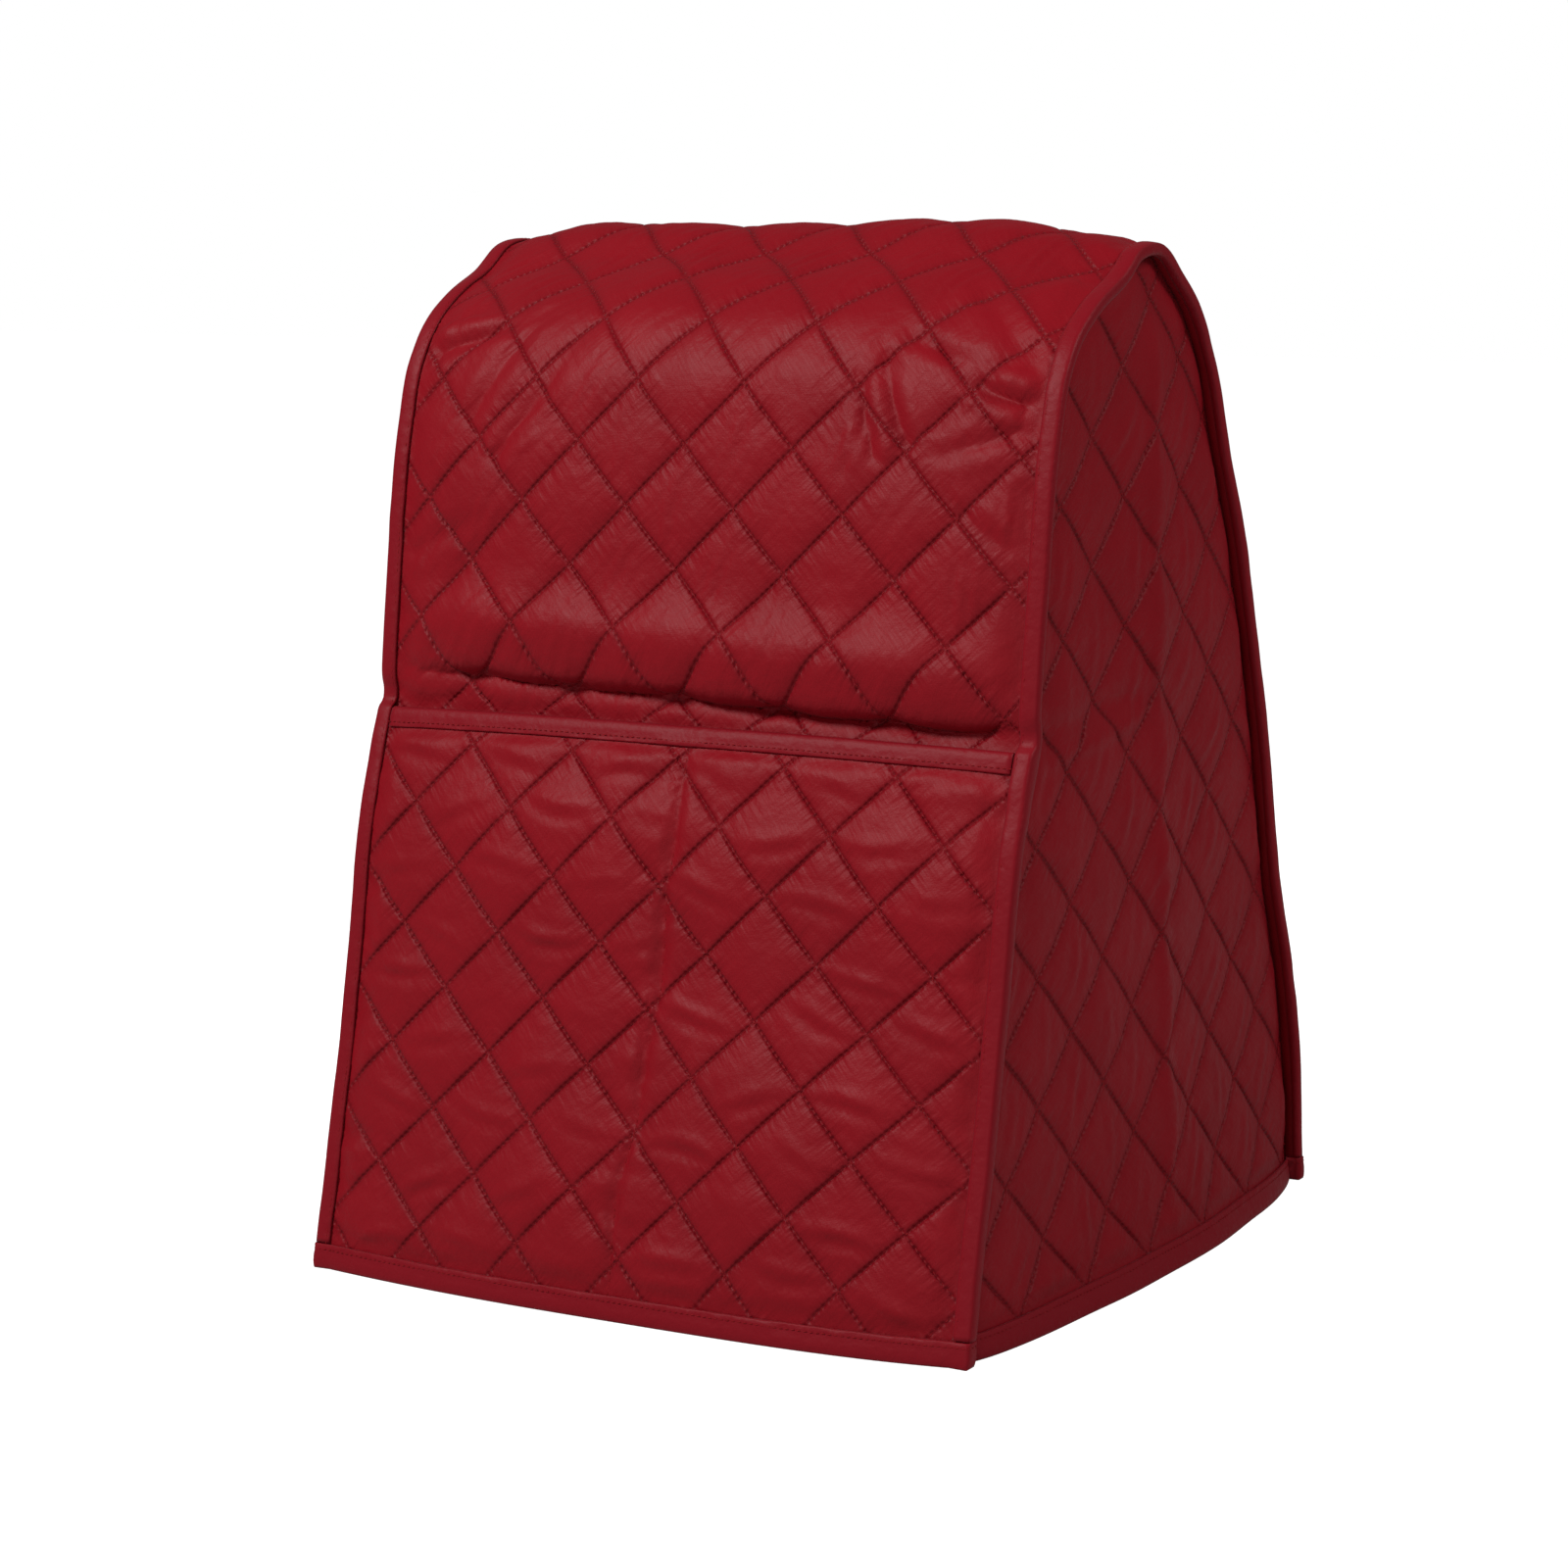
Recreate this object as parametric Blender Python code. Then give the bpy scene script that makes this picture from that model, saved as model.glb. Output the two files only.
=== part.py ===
"""Quilted cover for a stand mixer.

One long main panel runs up the front, over the top and down the back. Two side panels close
it, a patch pocket lies on the lower front, and every edge is bound. Metres, +Z up, the front
faces -Y, and the hem stands on Z = 0.
"""

import math

import bmesh
import bpy
import numpy as np
from mathutils import Vector
from mathutils.geometry import delaunay_2d_cdt

# Driving sizes of the cloth.
SQUARE = 0.040              # side of a quilted square, seam to seam
CLOTH = 0.0016              # the cloth where a seam presses it
PUFF = 0.0040               # how far the middle of a square stands out
TAPE = 0.0010               # binding tape
GAP = 0.0003                # clear space between two pieces

# Driving sizes of the cover.
FLANGE_EDGE = 0.1750        # half width of the main panel, out to its cut edge
SEAM_LINE = 0.1665          # half width where a side panel is sewn on
POCKET_TOP = 0.2675         # pocket height, along the cloth
HEM_BINDING = 0.0100
SEAM_BINDING_FROM = 0.1675  # inboard edge of the seam binding's front leaf
BACK_LEAF_FROM = 0.1722
POCKET_BINDING = 0.0090
STITCH_MARGIN = 0.0055      # nothing quilted rises closer than this to a seam
POCKET_SLACK = 0.0014       # how far the pocket hangs off the main panel
FRONT_LEAN = math.radians(13.5)
CURVE_TOP = 0.47            # above this a side panel is too narrow to bulge

# Side seam in profile, front hem to back hem: y and z in metres.
PROFILE = (
    (-0.1800, 0.0000),      # front hem
    (-0.1685, 0.0480),
    (-0.1563, 0.0960),
    (-0.1440, 0.1500),
    (-0.1310, 0.2150),
    (-0.1118, 0.2620),      # top of the pocket
    (-0.1115, 0.2800),
    (-0.1050, 0.3250),
    (-0.0975, 0.3700),
    (-0.0905, 0.3980),
    (-0.0830, 0.4200),      # front shoulder
    (-0.0700, 0.4385),
    (-0.0500, 0.4520),
    (-0.0250, 0.4625),
    (-0.0050, 0.4740),      # apex
    (0.0170, 0.4745),
    (0.0350, 0.4620),
    (0.0560, 0.4440),       # back shoulder
    (0.0745, 0.4150),
    (0.0890, 0.3750),
    (0.1060, 0.3330),
    (0.1220, 0.2800),
    (0.1370, 0.2220),
    (0.1480, 0.1630),
    (0.1640, 0.1140),
    (0.1755, 0.0600),
    (0.1790, 0.0000),       # back hem
)

# Fullness of the main panel between its seams: share of its length, rise in metres.
FULLNESS = (
    (0.00, 0.0105),         # front hem
    (0.12, 0.0075),
    (0.25, 0.0040),         # pocket top
    (0.33, 0.0085),
    (0.44, 0.0100),
    (0.54, 0.0120),         # top
    (0.66, 0.0090),
    (0.85, 0.0060),
    (1.00, 0.0106),         # back hem
)

DIAGONAL = SQUARE * math.sqrt(2.0)
STEP = DIAGONAL / 4.0
SIDE_INSET = CLOTH + GAP    # a side panel's turned edge lies behind the main panel's

# Where a crossing of the quilting lies on each cloth: across, along.
MAIN_CROSSING = (-0.0100, 0.3420)
POCKET_CROSSING = (0.0, 0.2520)
SIDE_CROSSING = (0.0145, 0.0390)
SIDE_STRETCH = 1.045        # the side panels hang a little stretched

# The fold across the front above the pocket: cloth length at the left and at the right seam.
FOLD_LEFT = 0.2895
FOLD_RIGHT = 0.2760
FOLD_DEPTH = 0.0055
FOLD_WIDTH = 0.0090
ROLL_RISE = 0.0065          # the cloth rolls over the fold
ROLL_ABOVE = 0.0260
ROLL_WIDTH = 0.0180

# How far a side panel hangs out beyond its seams: all over, towards the hem, and at the hem.
SIDE_FULLNESS = 0.0010
SIDE_LOW_FULLNESS = 0.0055
SIDE_FLARE = 0.0170
FLARE_HEIGHT = 0.0200
SIDE_SAG = 0.0010
CREASE_RISE = 0.0022        # the soft upright fold down its middle
CREASE_WIDTH = 0.0140

# Scene and collections.
for old in list(bpy.data.objects):
    bpy.data.objects.remove(old, do_unlink=True)
cover = bpy.data.collections.new("stand_mixer_cover")
bpy.context.scene.collection.children.link(cover)


def cloth_material(name, colour, roughness):
    """A Principled material from an sRGB colour written as six hex digits."""
    linear = []
    for k in (0, 2, 4):
        value = int(colour[k:k + 2], 16) / 255.0
        linear.append(value / 12.92 if value <= 0.04045 else ((value + 0.055) / 1.055) ** 2.4)
    made = bpy.data.materials.new(name)
    made.use_nodes = True
    shader = made.node_tree.nodes["Principled BSDF"]
    shader.inputs["Base Color"].default_value = (*linear, 1.0)
    shader.inputs["Roughness"].default_value = roughness
    shader.inputs["Metallic"].default_value = 0.0
    made.diffuse_color = (*linear, 1.0)
    return made


# The profile as a smooth curve, measured along the cloth.
def smooth_curve(rows, samples=24):
    """Points of a Catmull-Rom curve through rows, samples to a span."""
    p = np.array(rows, float)
    p = np.vstack([2 * p[0] - p[1], p, 2 * p[-1] - p[-2]])
    out = []
    for k in range(1, len(p) - 2):
        for t in np.linspace(0.0, 1.0, samples, endpoint=False):
            out.append(0.5 * (2 * p[k] + (p[k + 1] - p[k - 1]) * t
                              + (2 * p[k - 1] - 5 * p[k] + 4 * p[k + 1] - p[k + 2]) * t ** 2
                              + (3 * p[k] - p[k - 1] - 3 * p[k + 1] + p[k + 2]) * t ** 3))
    out.append(p[-2])
    return np.array(out)


CURVE = smooth_curve(PROFILE)
ALONG = np.concatenate([[0.0], np.cumsum(np.linalg.norm(np.diff(CURVE, axis=0), axis=1))])
CURVE_LENGTH = ALONG[-1]
HEM_LIFT = TAPE + 2 * GAP   # cut edges stop inside the hem binding
START = HEM_LIFT / math.cos(FRONT_LEAN)
END = CURVE_LENGTH - HEM_LIFT


def seam_point(s):
    """(y, z) of the side seam at cloth length s."""
    return np.array([np.interp(s, ALONG, CURVE[:, 0]), np.interp(s, ALONG, CURVE[:, 1])])


def seam_normal(s):
    """The unit normal there, pointing out of the cover."""
    reach = 0.004
    run = seam_point(min(s + reach, CURVE_LENGTH)) - seam_point(max(s - reach, 0.0))
    run /= np.linalg.norm(run)
    return np.array([-run[1], run[0]])


def ease(t):
    """0 to 1 with level ends."""
    t = min(max(t, 0.0), 1.0)
    return t * t * (3.0 - 2.0 * t)


def bell(t):
    return math.exp(-t * t)


def fold_line(u):
    """Cloth length at which the front fold lies, u across the panel."""
    across = 0.5 + 0.5 * u / FLANGE_EDGE
    return FOLD_LEFT + (FOLD_RIGHT - FOLD_LEFT) * across ** 1.6


def fullness(u, s):
    """How far the main panel stands out beyond its side seams."""
    if abs(u) >= SEAM_LINE:
        return 0.0
    rows = np.array(FULLNESS)
    crown = np.interp(s / CURVE_LENGTH, rows[:, 0], rows[:, 1])
    across = 1.0 - abs(u / SEAM_LINE) ** 3.0
    drift = 1.0 + 0.22 * math.sin(9.0 * s + 11.0 * u) + 0.10 * math.sin(31.0 * s - 17.0 * u)
    return crown * across * drift


def front_fold(u, s):
    """The sunk fold above the pocket and the roll of cloth over it."""
    if abs(u) >= SEAM_LINE or s < POCKET_TOP:
        return 0.0
    off = s - fold_line(u)
    deep = FOLD_DEPTH * (0.75 + 0.25 * math.sin(24.0 * u + 1.0))
    sunk = -deep * bell(off / FOLD_WIDTH) * ease((s - POCKET_TOP) / 0.008)
    roll = ROLL_RISE * bell((off - ROLL_ABOVE) / ROLL_WIDTH) * ease((s - POCKET_TOP - 0.006) / 0.02)
    return (sunk + roll) * (1.0 - abs(u / SEAM_LINE) ** 6.0)


def pocket_lift(u, s):
    """Height of the pocket's middle above the main panel's."""
    sewn = CLOTH + GAP
    mouth = CLOTH + 2.4 * GAP + TAPE    # clear of the binding's back leaf
    lift = sewn + (mouth - sewn) * ease((s - POCKET_TOP + 0.030) / 0.018)
    if abs(u) < SEAM_LINE:
        slack = abs(math.sin(math.pi * u / SEAM_LINE)) ** 0.5 * ease(s / 0.06)
        lift += POCKET_SLACK * slack
    return lift


def main_place(u, s, lift=0.0):
    """The middle of the main panel's cloth at u across and s along, or lift above it."""
    y, z = seam_point(s)
    n = seam_normal(s)
    rise = fullness(u, s) + front_fold(u, s) + lift
    # The hem stays level, so the rise goes forward there and not up or down.
    level = ease(min(s - START, END - s) / 0.03)
    return Vector((u, y + n[0] * rise, z + n[1] * rise * level))


def pocket_place(u, s):
    return main_place(u, s, pocket_lift(u, s))


def side_bulge(y, z):
    """How far a side panel stands out beyond its seam line."""
    apex = np.argmax(CURVE[:, 1])
    level = min(max(z, 0.0), CURVE_TOP)
    front = np.interp(level, CURVE[:apex + 1, 1], CURVE[:apex + 1, 0])
    back = np.interp(level, CURVE[apex:, 1][::-1], CURVE[apex:, 0][::-1])
    margin = 0.014              # the share of the width beside each seam that stays flat
    t = ((y - front) / max(back - front, 0.02) - margin) / (1.0 - 2.0 * margin)
    if not 0.0 < t < 1.0:
        return 0.0
    amount = (SIDE_FULLNESS + SIDE_LOW_FULLNESS * (1.0 - level / CURVE_TOP)
              + SIDE_FLARE * math.exp(-level / FLARE_HEIGHT))
    crease = CREASE_RISE * bell((y - SIDE_CROSSING[0]) / CREASE_WIDTH)
    crease *= ease((CURVE_TOP - z) / 0.06) * ease(z / 0.06)
    sag = SIDE_SAG * math.sin(26.0 * y + 19.0 * z)
    return (amount + crease + sag) * math.sin(math.pi * t) ** 0.55


# Quilting: a lattice of a quarter diagonal, with crossings, seam points and middles.
def kind_of(i, j):
    if (i + j) % 2:
        return None
    if i % 2:
        return "seam"
    return "middle" if (i + j) // 2 % 2 else "crossing"


def lattice(crossing, pitch, low, high, inside):
    """{(i, j): (across, along)} of the quilting points that inside() accepts."""
    found = {}
    spans = [range(math.floor((low[k] - crossing[k]) / pitch), math.ceil((high[k] - crossing[k]) / pitch) + 1)
             for k in (0, 1)]
    for i in spans[0]:
        for j in spans[1]:
            p = (crossing[0] + i * pitch, crossing[1] + j * pitch)
            if kind_of(i, j) and inside(*p):
                found[i, j] = p
    return found


def flat_pattern(outline, rows, lattices):
    """Triangulates a flat piece: its outline, pressed rows, and quilting points with their seams.

    Returns the flat points, which of them stand out, and the faces.
    """
    coords = [Vector(p) for p in outline]
    edges = [(k, (k + 1) % len(outline)) for k in range(len(outline))]
    for row in rows:
        last = None
        for p in row:
            at = next((k for k, q in enumerate(coords) if (q - Vector(p)).length < 1e-6), None)
            if at is None:
                at = len(coords)
                coords.append(Vector(p))
            if last is not None:
                edges.append((last, at))
            last = at
    puffed = set()
    for points in lattices:
        index = {}
        for key, p in points.items():
            index[key] = len(coords)
            coords.append(Vector(p))
            if kind_of(*key) == "middle":
                puffed.add(index[key])
        for (i, j), at in index.items():
            steps = [(1, 1), (-1, 1)] + ([(2, 0), (0, 2)] if i % 2 == 0 else [])
            for di, dj in steps:
                if (i + di, j + dj) in index:
                    edges.append((at, index[i + di, j + dj]))
    boundary = list(range(len(outline)))
    flat, _, faces, origin, _, _ = delaunay_2d_cdt(coords, edges, [boundary], 1, 1e-7)
    high = {k for k, source in enumerate(origin) if any(c in puffed for c in source)}
    return flat, high, faces


def thicken(bm, rise):
    """Gives a sheet its thickness: CLOTH all over, and rise(vert) more on the outer face."""
    bm.normal_update()
    outer, inner = {}, {}
    for v in list(bm.verts):
        thick = v.normal * v.calc_shell_factor() * (CLOTH / 2)
        inner[v] = v.co - thick
        outer[v] = v.co + thick + v.normal * rise(v)
    faces = list(bm.faces)
    rim = [loop for face in faces for loop in face.loops if loop.edge.is_boundary]
    copies = {v: bm.verts.new(inner[v]) for v in inner}
    for face in faces:
        bm.faces.new([copies[v] for v in reversed(face.verts)])
    for loop in rim:
        a, b = loop.vert, loop.link_loop_next.vert
        bm.faces.new([b, a, copies[a], copies[b]])
    for v, co in outer.items():
        v.co = co


def add_object(name, bm, material, smooth=True):
    mesh = bpy.data.meshes.new(name)
    bmesh.ops.triangulate(bm, faces=bm.faces[:])
    bm.to_mesh(mesh)
    bm.free()
    mesh.materials.append(material)
    if smooth:
        mesh.shade_smooth()
        mesh.set_sharp_from_angle(angle=math.radians(50))
    made = bpy.data.objects.new(name, mesh)
    cover.objects.link(made)
    return made


def quilted_panel(name, outline, rows, lattices, place, puff_at, material, flip=False, turned=None):
    """A quilted sheet. turned(p) gives the outer end of the edge that is turned out at p."""
    flat, high, faces = flat_pattern(outline, rows, lattices)
    bm = bmesh.new()
    verts = [bm.verts.new(place(*p)) for p in flat]
    for face in faces:
        bm.faces.new([verts[k] for k in (reversed(face) if flip else face)])
    heights = {verts[k]: puff_at(*flat[k]) for k in high}
    if turned:
        where = {v: flat[k] for k, v in enumerate(verts)}
        ends = {}
        for edge in [e for e in bm.edges if e.is_boundary]:
            tips = [turned(where[v]) for v in edge.verts]
            if None in tips:
                continue
            for v, tip in zip(edge.verts, tips):
                if v not in ends:
                    ends[v] = bm.verts.new(tip)
            loop = edge.link_loops[0]
            a, b = loop.vert, loop.link_loop_next.vert
            bm.faces.new([b, a, ends[a], ends[b]])
    thicken(bm, lambda v: heights.get(v, 0.0))
    return add_object(name, bm, material)


def band(name, sections, material, closed=False):
    """A strip through cross-sections, each a list of points, with flat ends or closed to a ring."""
    bm = bmesh.new()
    rings = [[bm.verts.new(p) for p in section] for section in sections]
    count = len(rings[0])
    for low, high in zip(rings, rings[1:] + rings[:1] if closed else rings[1:]):
        for k in range(count):
            m = (k + 1) % count
            bm.faces.new([low[k], low[m], high[m], high[k]])
    if closed:
        bmesh.ops.remove_doubles(bm, verts=bm.verts[:], dist=1e-6)
    else:
        bm.faces.new(list(reversed(rings[0])))
        bm.faces.new(rings[-1])
    bmesh.ops.recalc_face_normals(bm, faces=bm.faces[:])
    return add_object(name, bm, material)


# Stations along the seam: wide apart on the long straight stretches, close over the top.
def seam_stations():
    close_from, close_to = 0.395, 0.640
    marks = [(START, START + HEM_BINDING), (START + HEM_BINDING, POCKET_TOP), (POCKET_TOP, POCKET_TOP + 0.004),
             (POCKET_TOP + 0.004, close_from), (close_from, close_to), (close_to, END - HEM_BINDING),
             (END - HEM_BINDING, END)]
    found = [START]
    for low, high in marks:
        pitch = STEP if low >= POCKET_TOP and high <= close_to + 1e-6 else 2 * STEP
        count = max(1, round((high - low) / pitch))
        found += [low + (high - low) * (k + 1) / count for k in range(count)]
    return found


STATIONS = seam_stations()
SEAM = np.array([seam_point(s) for s in STATIONS])


def seam_offset(distance):
    """The seam line moved out by distance, or by a distance for each station, mitred at each point."""
    distance = np.broadcast_to(distance, len(SEAM))
    run = np.diff(SEAM, axis=0)
    run /= np.linalg.norm(run, axis=1)[:, None]
    normal = np.stack([-run[:, 1], run[:, 0]], axis=1)
    before = np.vstack([normal[:1], normal])
    after = np.vstack([normal, normal[-1:]])
    mitre = before + after
    mitre *= (2.0 / (mitre ** 2).sum(axis=1))[:, None]
    return SEAM + mitre * distance[:, None]


def columns_between(low, high, crossing, pitch):
    """Lattice columns from low to high."""
    first = math.ceil((low - crossing) / pitch)
    last = math.floor((high - crossing) / pitch)
    return [crossing + k * pitch for k in range(first, last + 1)]


# Main panel: a long rectangle, quilted in one phase, pressed flat behind the pocket.
main_cloth = cloth_material("main_panel_cloth", "7C1A22", 0.62)
body_columns = columns_between(-SEAM_LINE + STITCH_MARGIN, SEAM_LINE - STITCH_MARGIN, 0.0, 2 * STEP)
hem_columns = [-SEAM_LINE, *body_columns, SEAM_LINE]
all_columns = [-FLANGE_EDGE, *hem_columns, FLANGE_EDGE]

main_outline = [(u, START) for u in all_columns]
main_outline += [(FLANGE_EDGE, s) for s in STATIONS[1:-1]]
main_outline += [(u, END) for u in reversed(all_columns)]
main_outline += [(-FLANGE_EDGE, s) for s in reversed(STATIONS[1:-1])]
main_rows = [[(side * SEAM_LINE, s) for s in STATIONS] for side in (-1, 1)]
main_rows += [[(u, s) for u in all_columns]
              for s in (START + HEM_BINDING, END - HEM_BINDING, POCKET_TOP - POCKET_BINDING, POCKET_TOP)]


def in_main(u, s):
    return (abs(u) < SEAM_LINE - STITCH_MARGIN and s > POCKET_TOP + STITCH_MARGIN
            and s < END - HEM_BINDING - STITCH_MARGIN)


def behind_pocket(u, s):
    return (abs(u) < SEAM_LINE - STITCH_MARGIN
            and START + HEM_BINDING + STITCH_MARGIN < s < POCKET_TOP - POCKET_BINDING - STITCH_MARGIN)


def main_puff(u, s):
    return PUFF * ease((s - POCKET_TOP - 0.004) / 0.010)


main_low, main_high = (-SEAM_LINE, START), (SEAM_LINE, END)
main_points = lattice(MAIN_CROSSING, STEP, main_low, main_high, in_main)
# Behind the pocket the cloth is pressed flat, and follows the pocket's own facets.
pressed_points = lattice(POCKET_CROSSING, STEP, main_low, main_high, behind_pocket)
quilted_panel("main_panel", main_outline, main_rows, [main_points, pressed_points], main_place,
              main_puff, main_cloth)

# Pocket panel: sewn at its sides, its hem and down its middle, open along its top.
pocket_cloth = cloth_material("pocket_panel_cloth", "7E1B23", 0.62)
pocket_stations = [s for s in STATIONS if s <= POCKET_TOP + 1e-6]
pocket_outline = [(u, START) for u in all_columns]
pocket_outline += [(FLANGE_EDGE, s) for s in pocket_stations[1:-1]]
pocket_outline += [(u, POCKET_TOP) for u in reversed(all_columns)]
pocket_outline += [(-FLANGE_EDGE, s) for s in reversed(pocket_stations[1:-1])]
pocket_rows = [[(side * SEAM_LINE, s) for s in pocket_stations] for side in (-1, 1)]
pocket_rows += [[(u, s) for u in all_columns]
                for s in (START + HEM_BINDING, POCKET_TOP - POCKET_BINDING)]


def pocket_puff(u, s):
    # The divider's stitching crosses the middles that lie on it.
    return PUFF * (0.35 if abs(u) < STEP / 2 else 1.0)


quilted_panel("pocket_panel", pocket_outline, pocket_rows, [pressed_points], pocket_place,
              pocket_puff, pocket_cloth)


# Side panels: each fills the profile, with its edge turned out along the seam.
side_cloth = cloth_material("side_panel_cloth", "651820", 0.64)
side_line = seam_offset(-SIDE_INSET)
side_pitch = STEP * SIDE_STRETCH
side_floor = HEM_LIFT
side_columns = columns_between(side_line[0][0] + STITCH_MARGIN, side_line[-1][0] - STITCH_MARGIN,
                               SIDE_CROSSING[0], side_pitch)
side_outline = [(float(y), float(z)) for y, z in side_line]
side_outline[0] = (side_outline[0][0], side_floor)
side_outline[-1] = (side_outline[-1][0], side_floor)
side_seam = list(side_outline)


def across_side(z):
    """The two ends of the side panel's flat outline at height z near the hem."""
    front = side_seam[0][0] + (side_seam[1][0] - side_seam[0][0]) * (z - side_floor) / (
        side_seam[1][1] - side_floor)
    back = side_seam[-1][0] + (side_seam[-2][0] - side_seam[-1][0]) * (z - side_floor) / (
        side_seam[-2][1] - side_floor)
    return front, back


# The outline runs up the front, over and down the back, so it is reversed to run anticlockwise.
side_outline = [*reversed(side_seam), *[(y, side_floor) for y in side_columns]]
press_height = side_seam[1][1]
press_ends = [side_seam[1], side_seam[-2]]
side_rows = [[press_ends[0], *[(y, press_height) for y in side_columns], press_ends[1]]]
seam_segments = [(Vector(a), Vector(b)) for a, b in zip(side_seam, side_seam[1:])]


def from_seam(y, z):
    """Distance from the side panel's seam line, negative outside it."""
    p = Vector((y, z))
    best = 1.0
    for a, b in seam_segments:
        along = b - a
        t = min(max((p - a).dot(along) / along.length_squared, 0.0), 1.0)
        best = min(best, (p - a - t * along).length)
    return best


def inside_seam(y, z):
    inside = False
    for (ya, za), (yb, zb) in zip(side_outline, [*side_outline[1:], side_outline[0]]):
        if (za > z) != (zb > z) and y < (yb - ya) * (z - za) / (zb - za) + ya:
            inside = not inside
    return inside


def in_side(y, z):
    return (z > press_height + STITCH_MARGIN and inside_seam(y, z)
            and from_seam(y, z) > STITCH_MARGIN)


side_low, side_high = (side_line[0][0], side_floor), (side_line[-1][0], CURVE[:, 1].max())
side_points = lattice(SIDE_CROSSING, side_pitch, side_low, side_high, in_side)
for side, label in ((1, "right"), (-1, "left")):
    def side_place(y, z):
        return Vector((side * (SEAM_LINE + side_bulge(y, z)), y, z))

    def turned_edge(p):
        near = min(math.hypot(p[0] - y, p[1] - z) for y, z in side_seam)
        return Vector((side * FLANGE_EDGE, p[0], p[1])) if near < 1e-6 else None

    quilted_panel(f"side_panel_{label}", side_outline, side_rows, [side_points],
                  side_place, lambda y, z: PUFF, side_cloth, side < 0, turned_edge)

# Seam bindings: a folded tape round each flange, deeper where it also holds the pocket.
tape_cloth = cloth_material("binding_tape", "8A2A33", 0.55)
half = CLOTH / 2
front_stack = np.array([half + (pocket_lift(SEAM_LINE, s) if s <= POCKET_TOP + 0.005 else 0.0)
                        for s in STATIONS])
back_stack = SIDE_INSET + half
tip_in, tip_out = FLANGE_EDGE + GAP, FLANGE_EDGE + GAP + TAPE
front_in = seam_offset(front_stack + GAP)
front_out = seam_offset(front_stack + GAP + TAPE)
back_in = seam_offset(-(back_stack + GAP))
back_out = seam_offset(-(back_stack + GAP + TAPE))
hem_tops = [seam_point(START + HEM_BINDING)[1], seam_point(END - HEM_BINDING)[1]]
for side, label in ((1, "right"), (-1, "left")):
    sections = []
    # The hem binding holds the two ends, so the seam bindings stop above it.
    for k in range(1, len(STATIONS) - 1):
        fi, fo, bi, bo = front_in[k], front_out[k], back_in[k], back_out[k]
        sections.append([Vector((side * x, y, max(z, max(hem_tops) + GAP))) for x, (y, z) in (
            (SEAM_BINDING_FROM, fi), (SEAM_BINDING_FROM, fo), (tip_out, fo), (tip_out, bo),
            (BACK_LEAF_FROM, bo), (BACK_LEAF_FROM, bi), (tip_in, bi), (tip_in, fi))])
    band(f"seam_binding_{label}", sections, tape_cloth)


# Hem binding: one folded tape round the whole lower edge and the ends of the flanges.
SLACK = 0.0005              # the folded tape stands a little off the cloth
HEM_BY = half + SLACK + GAP             # from a single cloth's middle to the tape
HEM_BY_POCKET = HEM_BY + CLOTH + GAP    # where the pocket lies over it
FLANGE_BY = HEM_BY + SIDE_INSET         # behind a flange, with the side's turned edge in it


def hem_run(middles, front_by):
    """Plan points of the tape's four faces beside a run of cloth, from its outermost inwards."""
    middles = np.array(middles)
    run = np.gradient(middles, axis=0)
    run /= np.linalg.norm(run, axis=1)[:, None]
    out = np.stack([run[:, 1], -run[:, 0]], axis=1)
    return np.stack([middles + out * by for by in (front_by + TAPE, front_by, -HEM_BY, -HEM_BY - TAPE)], axis=1)


def hem_corner(side, end, level, front_by):
    """Plan points of the tape's four faces round a flange, from the long panel to the side.

    end is 0 at the front and 1 at the back. level is 0 at the cut edge and 1 at the tape's own.
    They are worked out as (across, out from the seam), and then set down at their corner."""
    back = end == 1
    s = (START, END)[end] + level * HEM_BINDING * (-1 if back else 1)
    seam_y = seam_point(s)[0]
    outward = 1 if back else -1
    first_y = side_columns[-1 if back else 0]
    root = np.array([SEAM_LINE, (side_seam[-1 - level if back else level][0] - seam_y) * outward])
    first = np.array([SEAM_LINE + side_bulge(first_y, (side_floor, press_height)[level]),
                      (first_y - seam_y) * outward])
    along = (first - root) / np.linalg.norm(first - root)
    normal = np.array([-along[1], along[0]])

    def beside(by, out):
        """Where the face that lies by outside the side panel's middle comes to out from the seam."""
        start = root + normal * by
        return start + along * (out - start[1]) / along[1]

    outer, inner = front_by + TAPE, front_by
    tip_outer, tip_inner = FLANGE_EDGE + GAP + TAPE, FLANGE_EDGE + GAP
    deep_outer, deep_inner = -FLANGE_BY - TAPE, -FLANGE_BY
    inside = beside(-HEM_BY, -HEM_BY)
    inmost = beside(-HEM_BY - TAPE, -HEM_BY - TAPE)
    stations = (((SEAM_LINE, outer), (SEAM_LINE, inner)),
                ((tip_outer, outer), (tip_inner, inner)),
                ((tip_outer, deep_outer), (tip_inner, deep_inner)),
                (beside(HEM_BY + TAPE, deep_outer), beside(HEM_BY, deep_inner)))
    return np.array([[(side * x, seam_y + outward * d) for x, d in (*pair, inside, inmost)]
                     for pair in stations])


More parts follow.
